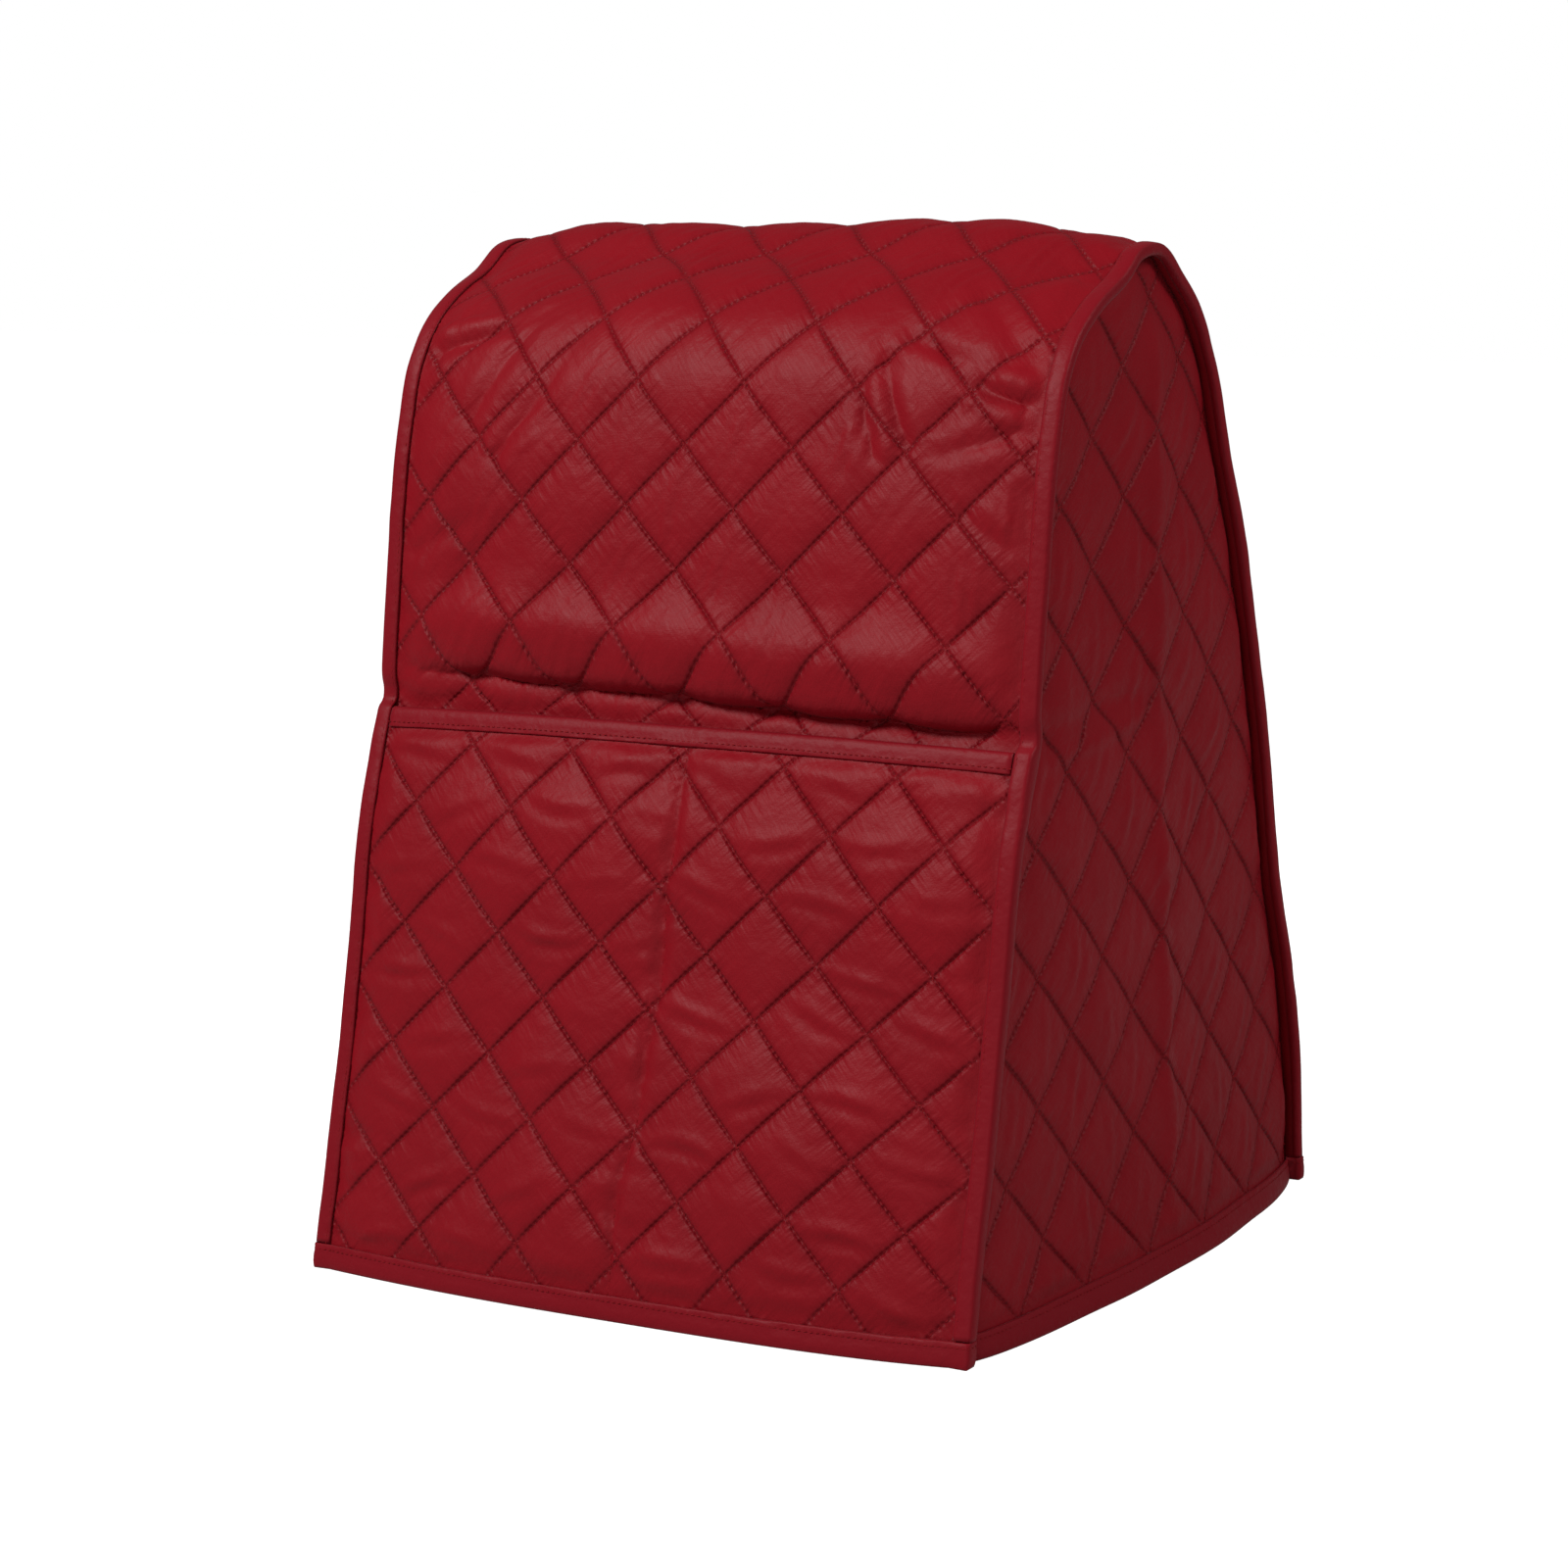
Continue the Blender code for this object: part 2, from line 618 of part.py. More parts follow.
def hem_level(level):
    """The whole way round: the long panel's front, the right side, its back and the left side."""
    height = (side_floor, press_height)[level]
    found = []
    for side, end in ((1, 0), (-1, 1)):
        s = (START, END)[end] + level * HEM_BINDING * (1, -1)[end]
        front_by = (HEM_BY_POCKET, HEM_BY)[end]
        across = [main_place(side * u, s)[:2] for u in hem_columns]
        found += list(hem_run(across, front_by)[1:-1])
        found += list(hem_corner(side, end, level, front_by))
        columns = side_columns[::side]
        down = [(side * (SEAM_LINE + side_bulge(y, height)), y) for y in columns]
        found += list(hem_run([(side * SEAM_LINE, columns[0] - side * 0.012), *down,
                               (side * SEAM_LINE, columns[-1] + side * 0.012)], HEM_BY)[1:-1])
        found += list(hem_corner(side, 1 - end, level, (HEM_BY, HEM_BY_POCKET)[end])[::-1])
    return found


def hem_heights():
    """Height of the tape's upper edge at each point on the way round."""
    found = []
    for end in (0, 1):
        found += [hem_tops[end]] * (len(body_columns) + 4) + [press_height] * len(side_columns)
        found += [hem_tops[1 - end]] * 4
    return found


sections = []
for low, high, top in zip(hem_level(0), hem_level(1), hem_heights()):
    sections.append([Vector((*plan, z)) for plan, z in (
        (high[1], top), (high[0], top), (low[0], 0.0), (low[3], 0.0),
        (high[3], top), (high[2], top), (low[2], TAPE), (low[1], TAPE))])
band("hem_binding", sections, tape_cloth, closed=True)

# Pocket binding: a folded tape round the pocket's top edge.
mouth_run = [-SEAM_LINE + GAP, *body_columns, SEAM_LINE - GAP]
edge = np.array([pocket_place(u, POCKET_TOP) for u in mouth_run])
press = np.array([pocket_place(u, POCKET_TOP - POCKET_BINDING) for u in mouth_run])
up = edge - press
up /= np.linalg.norm(up, axis=1)[:, None]
run = np.gradient(edge, axis=0)
out = np.cross(run, up)
out /= np.linalg.norm(out, axis=1)[:, None]
near, far = half + GAP, half + GAP + TAPE
tip, top = edge + up * GAP, edge + up * (GAP + TAPE)
faces = (press + out * near, press + out * far, top + out * far, top - out * far,
         press - out * far, press - out * near, tip - out * near, tip + out * near)
band("pocket_binding", [[Vector(row[k]) for row in faces] for k in range(len(edge))], tape_cloth)
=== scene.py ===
import math

import bmesh
import bpy
import numpy as np
from mathutils import Euler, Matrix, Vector
from mathutils.geometry import delaunay_2d_cdt


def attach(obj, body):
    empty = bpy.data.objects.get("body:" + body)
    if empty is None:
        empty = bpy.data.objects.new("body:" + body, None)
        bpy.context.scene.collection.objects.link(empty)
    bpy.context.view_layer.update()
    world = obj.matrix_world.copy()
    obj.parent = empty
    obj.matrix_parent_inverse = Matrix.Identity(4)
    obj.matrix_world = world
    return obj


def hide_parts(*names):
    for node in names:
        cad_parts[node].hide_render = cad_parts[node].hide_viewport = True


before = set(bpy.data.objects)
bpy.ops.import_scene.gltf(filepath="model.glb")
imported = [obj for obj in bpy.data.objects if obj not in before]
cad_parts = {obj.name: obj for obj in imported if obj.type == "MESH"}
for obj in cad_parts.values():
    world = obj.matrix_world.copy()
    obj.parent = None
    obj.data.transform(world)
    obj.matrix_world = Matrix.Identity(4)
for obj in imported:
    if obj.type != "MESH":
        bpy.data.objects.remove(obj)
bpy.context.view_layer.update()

# The view
# A long lens stands 2 m off, 31 degrees round to the cover's right and a little above it, so
# that the front with its pocket and one side both show.
VIEW_TURN, VIEW_DOWN, VIEW_ROLL = math.radians(30.6), math.radians(9.5), math.radians(0.9)
VIEW_PLACE = (0.9949, -1.7160, 0.5497)
VIEW_LENS = 95.6

view_data = bpy.data.cameras.new("view")
view_data.lens = VIEW_LENS
view_data.sensor_width = 36.0
view_data.clip_end = 30.0
view = bpy.data.objects.new("view", view_data)
bpy.context.collection.objects.link(view)
turned = Euler((math.pi / 2 - VIEW_DOWN, 0.0, VIEW_TURN)).to_matrix()
view.matrix_world = (turned @ Euler((0.0, 0.0, -VIEW_ROLL)).to_matrix()).to_4x4()
view.location = VIEW_PLACE
bpy.context.scene.camera = view
bpy.context.scene.view_settings.view_transform = "Standard"


# The studio
# White paper under and behind the cover. A soft box stands front left and high, so the front is
# bright and the side is in shade. One weak box fills the front and another opens up the side.
def area_light(name, place, aim, size, power):
    lamp = bpy.data.lights.new(name, "AREA")
    lamp.shape = "RECTANGLE"
    lamp.size, lamp.size_y = size
    lamp.energy = power
    holder = bpy.data.objects.new(name, lamp)
    holder.location = place
    holder.rotation_euler = (Vector(aim) - Vector(place)).to_track_quat("-Z", "Y").to_euler()
    bpy.context.collection.objects.link(holder)


area_light("soft_box", (-0.95, -1.75, 2.15), (0.0, 0.0, 0.24), (0.9, 0.7), 76.0)
area_light("front_fill", (0.9, -2.6, 0.7), (0.0, 0.0, 0.22), (1.0, 1.0), 9.0)
area_light("side_box", (2.0, 0.2, 1.9), (0.0, 0.0, 0.25), (0.9, 0.9), 31.0)


def linear(colour):
    """An sRGB colour of six hex digits as linear numbers."""
    out = []
    for k in (0, 2, 4):
        value = int(colour[k:k + 2], 16) / 255.0
        out.append(value / 12.92 if value <= 0.04045 else ((value + 0.055) / 1.055) ** 2.4)
    return (*out, 1.0)


def add_node(tree, kind, links=(), **settings):
    """One node with its settings, and inputs given as (input, value or output socket)."""
    node = tree.nodes.new(kind)
    for key, value in settings.items():
        setattr(node, key, value)
    for socket, value in links:
        if isinstance(value, bpy.types.NodeSocket):
            tree.links.new(value, node.inputs[socket])
        else:
            node.inputs[socket].default_value = value
    return node


# The paper behind looks pure white, and gives the cloth only a dim even light.
world = bpy.data.worlds.new("studio")
bpy.context.scene.world = world
world.use_nodes = True
sky = world.node_tree.nodes["Background"]
sky.inputs["Color"].default_value = (1.0, 1.0, 1.0, 1.0)
seen = add_node(world.node_tree, "ShaderNodeLightPath")
bright = add_node(world.node_tree, "ShaderNodeMapRange", [("Value", seen.outputs["Is Camera Ray"]),
                                                          ("To Min", 0.13), ("To Max", 1.0)])
world.node_tree.links.new(bright.outputs["Result"], sky.inputs["Strength"])

# Matt paper, burnt out to white as in a catalogue picture, so shadows stay faint.
paper = bpy.data.meshes.new("paper")
paper.from_pydata([(-6, -6, 0), (6, -6, 0), (6, 6, 0), (-6, 6, 0)], [], [(0, 1, 2, 3)])
matt_paper = bpy.data.materials.new("matt white paper")
matt_paper.use_nodes = True
paper_face = matt_paper.node_tree.nodes["Principled BSDF"]
paper_face.inputs["Base Color"].default_value = linear("B4B4B4")
paper_face.inputs["Roughness"].default_value = 0.9
paper_face.inputs["Specular IOR Level"].default_value = 0.0
paper_face.inputs["Emission Color"].default_value = linear("FFFFFF")
paper_seen = add_node(matt_paper.node_tree, "ShaderNodeLightPath")
glow = add_node(matt_paper.node_tree, "ShaderNodeMapRange", [("Value", paper_seen.outputs["Is Camera Ray"]),
                                                             ("To Min", 0.05), ("To Max", 0.97)])
matt_paper.node_tree.links.new(glow.outputs["Result"], paper_face.inputs["Emission Strength"])
paper.materials.append(matt_paper)
floor = bpy.data.objects.new("paper", paper)
floor.location.z = -0.0002
bpy.context.collection.objects.link(floor)

# The main panel
# One strip of polyester, wadding and backing, quilted in squares on the bias before it was cut.
# It runs up the front, over the top and down the back, and bulges between its side seams.
SQUARE = 0.040
CLOTH = 0.0016
TAPE = 0.0010
GAP = 0.0003
FLANGE_EDGE = 0.1750
SEAM_LINE = 0.1665
POCKET_TOP = 0.2675
HEM_BINDING = 0.0100
MAIN_CROSSING = (-0.0100, 0.3420)
PROFILE = (
    (-0.1800, 0.0000),      # front hem
    (-0.1685, 0.0480),
    (-0.1563, 0.0960),
    (-0.1440, 0.1500),
    (-0.1310, 0.2150),
    (-0.1118, 0.2620),      # top of the pocket
    (-0.1115, 0.2800),
    (-0.1050, 0.3250),
    (-0.0975, 0.3700),
    (-0.0905, 0.3980),
    (-0.0830, 0.4200),      # front shoulder
    (-0.0700, 0.4385),
    (-0.0500, 0.4520),
    (-0.0250, 0.4625),
    (-0.0050, 0.4740),      # apex
    (0.0170, 0.4745),
    (0.0350, 0.4620),
    (0.0560, 0.4440),       # back shoulder
    (0.0745, 0.4150),
    (0.0890, 0.3750),
    (0.1060, 0.3330),
    (0.1220, 0.2800),
    (0.1370, 0.2220),
    (0.1480, 0.1630),
    (0.1640, 0.1140),
    (0.1755, 0.0600),
    (0.1790, 0.0000),       # back hem
)
FULLNESS = (
    (0.00, 0.0105),         # front hem
    (0.12, 0.0075),
    (0.25, 0.0040),         # pocket top
    (0.33, 0.0085),
    (0.44, 0.0100),
    (0.54, 0.0120),         # top
    (0.66, 0.0090),
    (0.85, 0.0060),
    (1.00, 0.0106),         # back hem
)
FOLD_LEFT, FOLD_RIGHT = 0.2895, 0.2760
FOLD_DEPTH, FOLD_WIDTH = 0.0080, 0.0060
ROLL_RISE, ROLL_ABOVE, ROLL_WIDTH = 0.0070, 0.0230, 0.0170
# Places on the panel where the cloth is drawn into soft troughs: across and along in metres,
# the way it runs in degrees from level, its length, half width and depth.
DRAWS = (
    (0.1600, 0.4210, 158, 0.100, 0.0045, 0.0022),
    (0.1620, 0.4290, 172, 0.085, 0.0035, -0.0016),
    (0.1590, 0.4120, 204, 0.060, 0.0040, 0.0016),
    (0.1610, 0.4400, 140, 0.090, 0.0050, 0.0014),
    (0.1050, 0.4000, 118, 0.070, 0.0040, 0.0018),
    (0.0890, 0.3930, 112, 0.060, 0.0038, 0.0014),
    (-0.1600, 0.4380, 22, 0.085, 0.0045, 0.0020),
    (-0.1610, 0.4480, 12, 0.070, 0.0035, -0.0014),
    (-0.1300, 0.4060, 62, 0.080, 0.0045, 0.0017),
    (-0.1120, 0.3880, 58, 0.080, 0.0042, 0.0018),
    (-0.1610, 0.3420, 30, 0.060, 0.0045, 0.0012),
    (0.1600, 0.3560, 150, 0.055, 0.0045, 0.0012),
)


def smooth_curve(rows, samples=24):
    """Points of a Catmull-Rom curve through rows, samples to a span."""
    p = np.array(rows, float)
    p = np.vstack([2 * p[0] - p[1], p, 2 * p[-1] - p[-2]])
    out = []
    for k in range(1, len(p) - 2):
        for t in np.linspace(0.0, 1.0, samples, endpoint=False):
            out.append(0.5 * (2 * p[k] + (p[k + 1] - p[k - 1]) * t
                              + (2 * p[k - 1] - 5 * p[k] + 4 * p[k + 1] - p[k + 2]) * t ** 2
                              + (3 * p[k] - p[k - 1] - 3 * p[k + 1] + p[k + 2]) * t ** 3))
    out.append(p[-2])
    return np.array(out)


CURVE = smooth_curve(PROFILE)
ALONG = np.concatenate([[0.0], np.cumsum(np.linalg.norm(np.diff(CURVE, axis=0), axis=1))])
CURVE_LENGTH = ALONG[-1]
HEM_LIFT = TAPE + 2 * GAP
FRONT_LEAN = math.radians(13.5)
START = HEM_LIFT / math.cos(FRONT_LEAN)
END = CURVE_LENGTH - HEM_LIFT


def ease(t):
    t = np.clip(t, 0.0, 1.0)
    return t * t * (3.0 - 2.0 * t)


def bell(t):
    return np.exp(-t * t)


def drift(a, b, seed):
    """Smooth uneven heights from -1 to 1, about one rise to a unit of a and of b."""
    a, b = np.broadcast_arrays(a, b)
    heights = np.random.default_rng(seed).uniform(-1.0, 1.0, (61, 67))
    i, j = np.floor(a).astype(int), np.floor(b).astype(int)
    fa, fb = ease(a - i), ease(b - j)
    low = heights[i % 61, j % 67] * (1 - fa) + heights[(i + 1) % 61, j % 67] * fa
    high = heights[i % 61, (j + 1) % 67] * (1 - fa) + heights[(i + 1) % 61, (j + 1) % 67] * fa
    return low * (1 - fb) + high * fb


def seam_point(s):
    return np.interp(s, ALONG, CURVE[:, 0]), np.interp(s, ALONG, CURVE[:, 1])


def seam_normal(s, reach=0.004):
    y0, z0 = seam_point(np.maximum(s - reach, 0.0))
    y1, z1 = seam_point(np.minimum(s + reach, CURVE_LENGTH))
    length = np.hypot(y1 - y0, z1 - z0)
    return -(z1 - z0) / length, (y1 - y0) / length


def fold_line(u):
    """Where the fold above the pocket lies along the cloth, falling towards the right."""
    over = np.clip(0.5 + 0.5 * u / FLANGE_EDGE, 0.0, 1.0)
    return FOLD_LEFT + (FOLD_RIGHT - FOLD_LEFT) * over ** 1.6 + 0.0008 * drift(u / 0.028, 0.5, 5)


def main_rise(u, s):
    """How far the cloth stands out beyond its side seams: its fullness, its fold and its sag."""
    rows = np.array(FULLNESS)
    inside = np.clip(np.abs(u / SEAM_LINE), 0.0, 1.0)
    crown = np.interp(s / CURVE_LENGTH, rows[:, 0], rows[:, 1]) * (1.0 - inside ** 3.0)
    rise = crown * (1.0 + 0.22 * np.sin(9.0 * s + 11.0 * u) + 0.10 * np.sin(31.0 * s - 17.0 * u))
    off = s - fold_line(u)
    deep = FOLD_DEPTH * (0.85 + 0.15 * np.sin(24.0 * u + 1.0) + 0.12 * drift(u / 0.03, 0.5, 3))
    sunk = -deep * bell(off / FOLD_WIDTH) * ease((s - POCKET_TOP) / 0.006)
    roll = ROLL_RISE * bell((off - ROLL_ABOVE) / ROLL_WIDTH) * ease((s - POCKET_TOP - 0.006) / 0.02)
    sag = 0.0013 * drift(u / 0.045, s / 0.055, 11) * ease((1.0 - inside) / 0.2)
    sag = sag * ease((s - POCKET_TOP - 0.03) / 0.03)
    drawn = 0.0
    for across, along, way, length, width, depth in DRAWS:
        turn = math.radians(way)
        run = (u - across) * math.cos(turn) + (s - along) * math.sin(turn)
        beside = (s - along) * math.cos(turn) - (u - across) * math.sin(turn)
        beside = beside + 0.10 * run * run / length
        trough = bell(beside / width) - 0.5 * bell((np.abs(beside) - 2.0 * width) / width)
        drawn = drawn - depth * trough * ease(run / 0.006 + 0.5) * ease((length - run) / (0.7 * length))
    return rise + (sunk + roll) * (1.0 - inside ** 6.0) + sag + drawn * ease((1.0 - inside) / 0.03)


def main_middle(u, s, lift=0.0):
    """Points of the middle of the main panel's cloth, u across and s along, or lift above it."""
    y, z = seam_point(s)
    ny, nz = seam_normal(s)
    rise = np.where(np.abs(u) < SEAM_LINE, main_rise(u, s), 0.0) + lift
    level = ease(np.minimum(s - START, END - s) / 0.03)
    # The roll over the fold hangs down over it.
    hang = 0.0055 * bell((s - fold_line(u) - 0.0105) / 0.0080)
    hang = hang * (1.0 - np.clip(np.abs(u / SEAM_LINE), 0.0, 1.0) ** 6.0) * (s > POCKET_TOP)
    return np.stack([u, y + ny * rise, z + nz * rise * level - hang], axis=-1)


def out_of(middle, a, b, reach=0.0012):
    """Unit normals of the surface middle(a, b)."""
    over = middle(a + reach, b) - middle(a - reach, b)
    up = middle(a, b + reach) - middle(a, b - reach)
    normal = np.cross(over, up)
    return normal / np.linalg.norm(normal, axis=-1, keepdims=True)


def in_squares(across, along, crossing, square=SQUARE):
    """Places on the cloth counted in squares along its two ways of quilting."""
    size = math.sqrt(2.0) * square
    over, up = across - crossing[0], along - crossing[1]
    return (over + up) / size, (over - up) / size


def corner_places(low, high, crossing, square):
    """Places of a flat rectangle's four corners, counted in squares."""
    corners = [(a, b) for a in (low[0], high[0]) for b in (low[1], high[1])]
    return np.array([in_squares(a, b, crossing, square) for a, b in corners])


def quilted(p, q, seed, puff, fold, turn, wave, spread):
    """Height of the quilting above its seams, at p and q counted in squares.

    Each square has its own fullness, and its own soft fold of depth fold. turn is the fold's
    way in degrees from level, wave its length from ridge to ridge and spread its width."""
    i, j = np.floor(p).astype(int), np.floor(q).astype(int)
    fp, fq = p - i, q - j
    own = np.random.default_rng(seed).uniform(0.0, 1.0, (47, 53, 7))[i % 47, j % 53]
    pillow = (np.sin(np.pi * fp) * np.sin(np.pi * fq)) ** 0.42
    height = puff * pillow * (0.80 + 0.30 * own[..., 0])
    over, up = (fp + fq - 1.0) / math.sqrt(2.0), (fp - fq) / math.sqrt(2.0)
    way = math.radians(turn) + (own[..., 1] - 0.5) * 0.9
    off = up * np.cos(way) - over * np.sin(way) + 0.05 - (own[..., 2] - 0.5) * 0.34
    run = over * np.cos(way) + up * np.sin(way) - (own[..., 3] - 0.5) * 0.30
    off = off + (own[..., 4] - 0.5) * 1.1 * run * run
    soft = np.sin(2.0 * np.pi * off / wave) * bell(off / spread) * bell(run / 0.55)
    height = height + fold * own[..., 5] ** 0.7 * soft * pillow ** 1.3
    # The seams gather the cloth into short ripples that die out in the pillow.
    for near, run, line, key in ((fp, q, i, 5), (1 - fp, q, i + 1, 5), (fq, p, j, 9), (1 - fq, p, j + 1, 9)):
        ripple = drift(run / 0.12, line * 3.7 + 0.5, seed + key)
        height = height + 0.00034 * ripple * np.exp(-near / 0.13) * ease(near / 0.04)
    return height + 0.00030 * drift(p / 0.24, q / 0.24, seed + 21) * pillow


def seam_grid(low, high, crossing, shares, square=SQUARE):
    """Points of a grid that runs along the quilting's seams and is finer beside them."""
    ends = corner_places(low, high, crossing, square)
    lines = [np.concatenate([k + np.array(shares) for k in range(math.floor(ends[:, m].min()),
                                                                 math.ceil(ends[:, m].max()) + 1)])
             for m in (0, 1)]
    p, q = (grid.ravel() for grid in np.meshgrid(*lines))
    size = square / math.sqrt(2.0)
    across, along = crossing[0] + (p + q) * size, crossing[1] + (p - q) * size
    keep = (across > low[0]) & (across < high[0]) & (along > low[1]) & (along < high[1])
    return np.stack([across[keep], along[keep]], axis=-1)


def spaced(low, high, pitch):
    return np.linspace(low, high, max(2, round(abs(high - low) / pitch) + 1))


def flat_rectangle(low, high, pitch):
    """The outline of a rectangle, anticlockwise, with a point every pitch."""
    a, b = spaced(low[0], high[0], pitch), spaced(low[1], high[1], pitch)
    return np.vstack([np.stack([a[:-1], np.full(len(a) - 1, low[1])], axis=-1),
                      np.stack([np.full(len(b) - 1, high[0]), b[:-1]], axis=-1),
                      np.stack([a[:0:-1], np.full(len(a) - 1, high[1])], axis=-1),
                      np.stack([np.full(len(b) - 1, low[0]), b[:0:-1]], axis=-1)])


def coarse_grid(low, high, pitch):
    a, b = spaced(low[0], high[0], pitch), spaced(low[1], high[1], pitch)
    return np.stack(np.meshgrid(a, b), axis=-1).reshape(-1, 2)


def quilted_cloth(name, outline, fine, coarse, middle, height, squares, outward=1, extra=None):
    """A closed cloth: a fine outer face, a coarse inner one, and their shared edge.

    outline, fine and coarse are flat points, middle and height give the surface from them, and
    squares the place in the quilting, which is kept as a UV map. extra is (points, faces)."""
    count = len(outline)
    loop = [(k, (k + 1) % count) for k in range(count)]
    points, skin, flat, edges = [], [], [], []
    for inside, way in ((fine, outward), (coarse, -outward)):
        coords = [Vector(p) for p in np.vstack([outline, inside])]
        found, _, faces, origin, _, _ = delaunay_2d_cdt(coords, loop, [list(range(count))], 1, 1e-8)
        a, b = np.array([tuple(p) for p in found]).T
        away = height(a, b) if way == outward else np.full(len(a), -CLOTH / 2)
        base = sum(len(part) for part in points)
        points.append(middle(a, b) + out_of(middle, a, b) * (outward * away)[:, None])
        flat.append(np.stack([a, b], axis=-1))
        skin += [tuple(base + k for k in (face if way > 0 else face[::-1])) for face in faces]
        found_at = {old: k for k, olds in enumerate(origin) for old in olds}
        edges.append([base + found_at[k] for k in range(count)])
    for k, m in loop:
        side = (edges[0][m], edges[0][k], edges[1][k], edges[1][m])
        skin.append(side if outward > 0 else side[::-1])
    places = np.stack(squares(*np.vstack(flat).T), axis=-1)
    if extra:
        base = sum(len(part) for part in points)
        points.append(extra[0])
        skin += [tuple(base + k for k in face) for face in extra[1]]
        places = np.vstack([places, np.full((len(extra[0]), 2), 0.5)])
    mesh = bpy.data.meshes.new(name)
    mesh.from_pydata(np.vstack(points).tolist(), [], skin)
    corners = np.empty(len(mesh.loops), np.int32)
    mesh.loops.foreach_get("vertex_index", corners)
    seams = mesh.uv_layers.new(name="quilting")
    seams.data.foreach_set("uv", places[corners].astype(np.float32).ravel())
    mesh.shade_smooth()
    made = bpy.data.objects.new(name, mesh)
    bpy.context.collection.objects.link(made)
    return made


# Woven polyester, dyed wine red and calendered to a soft satin: deep and saturated in the folds,
# with a broad cool shine where it turns to the light. The seams sink into sharp creases with a
# dimple at each needle hole and short puckers beside the stitches, and painted shade darkens the
# colour in their grooves. The real threads are 0.2 mm apart, too fine for a picture of the whole
# cover, and are drawn at 0.7 mm.
CREASE_HALF, GROOVE_WIDTH = 0.0010, 0.0016
PUCKER_REACH, PUCKER_LONG, PUCKER_WIDE = 0.0065, 0.030, 0.0042
STREAK_WIDE, STREAK_LONG = 0.0009, 0.012


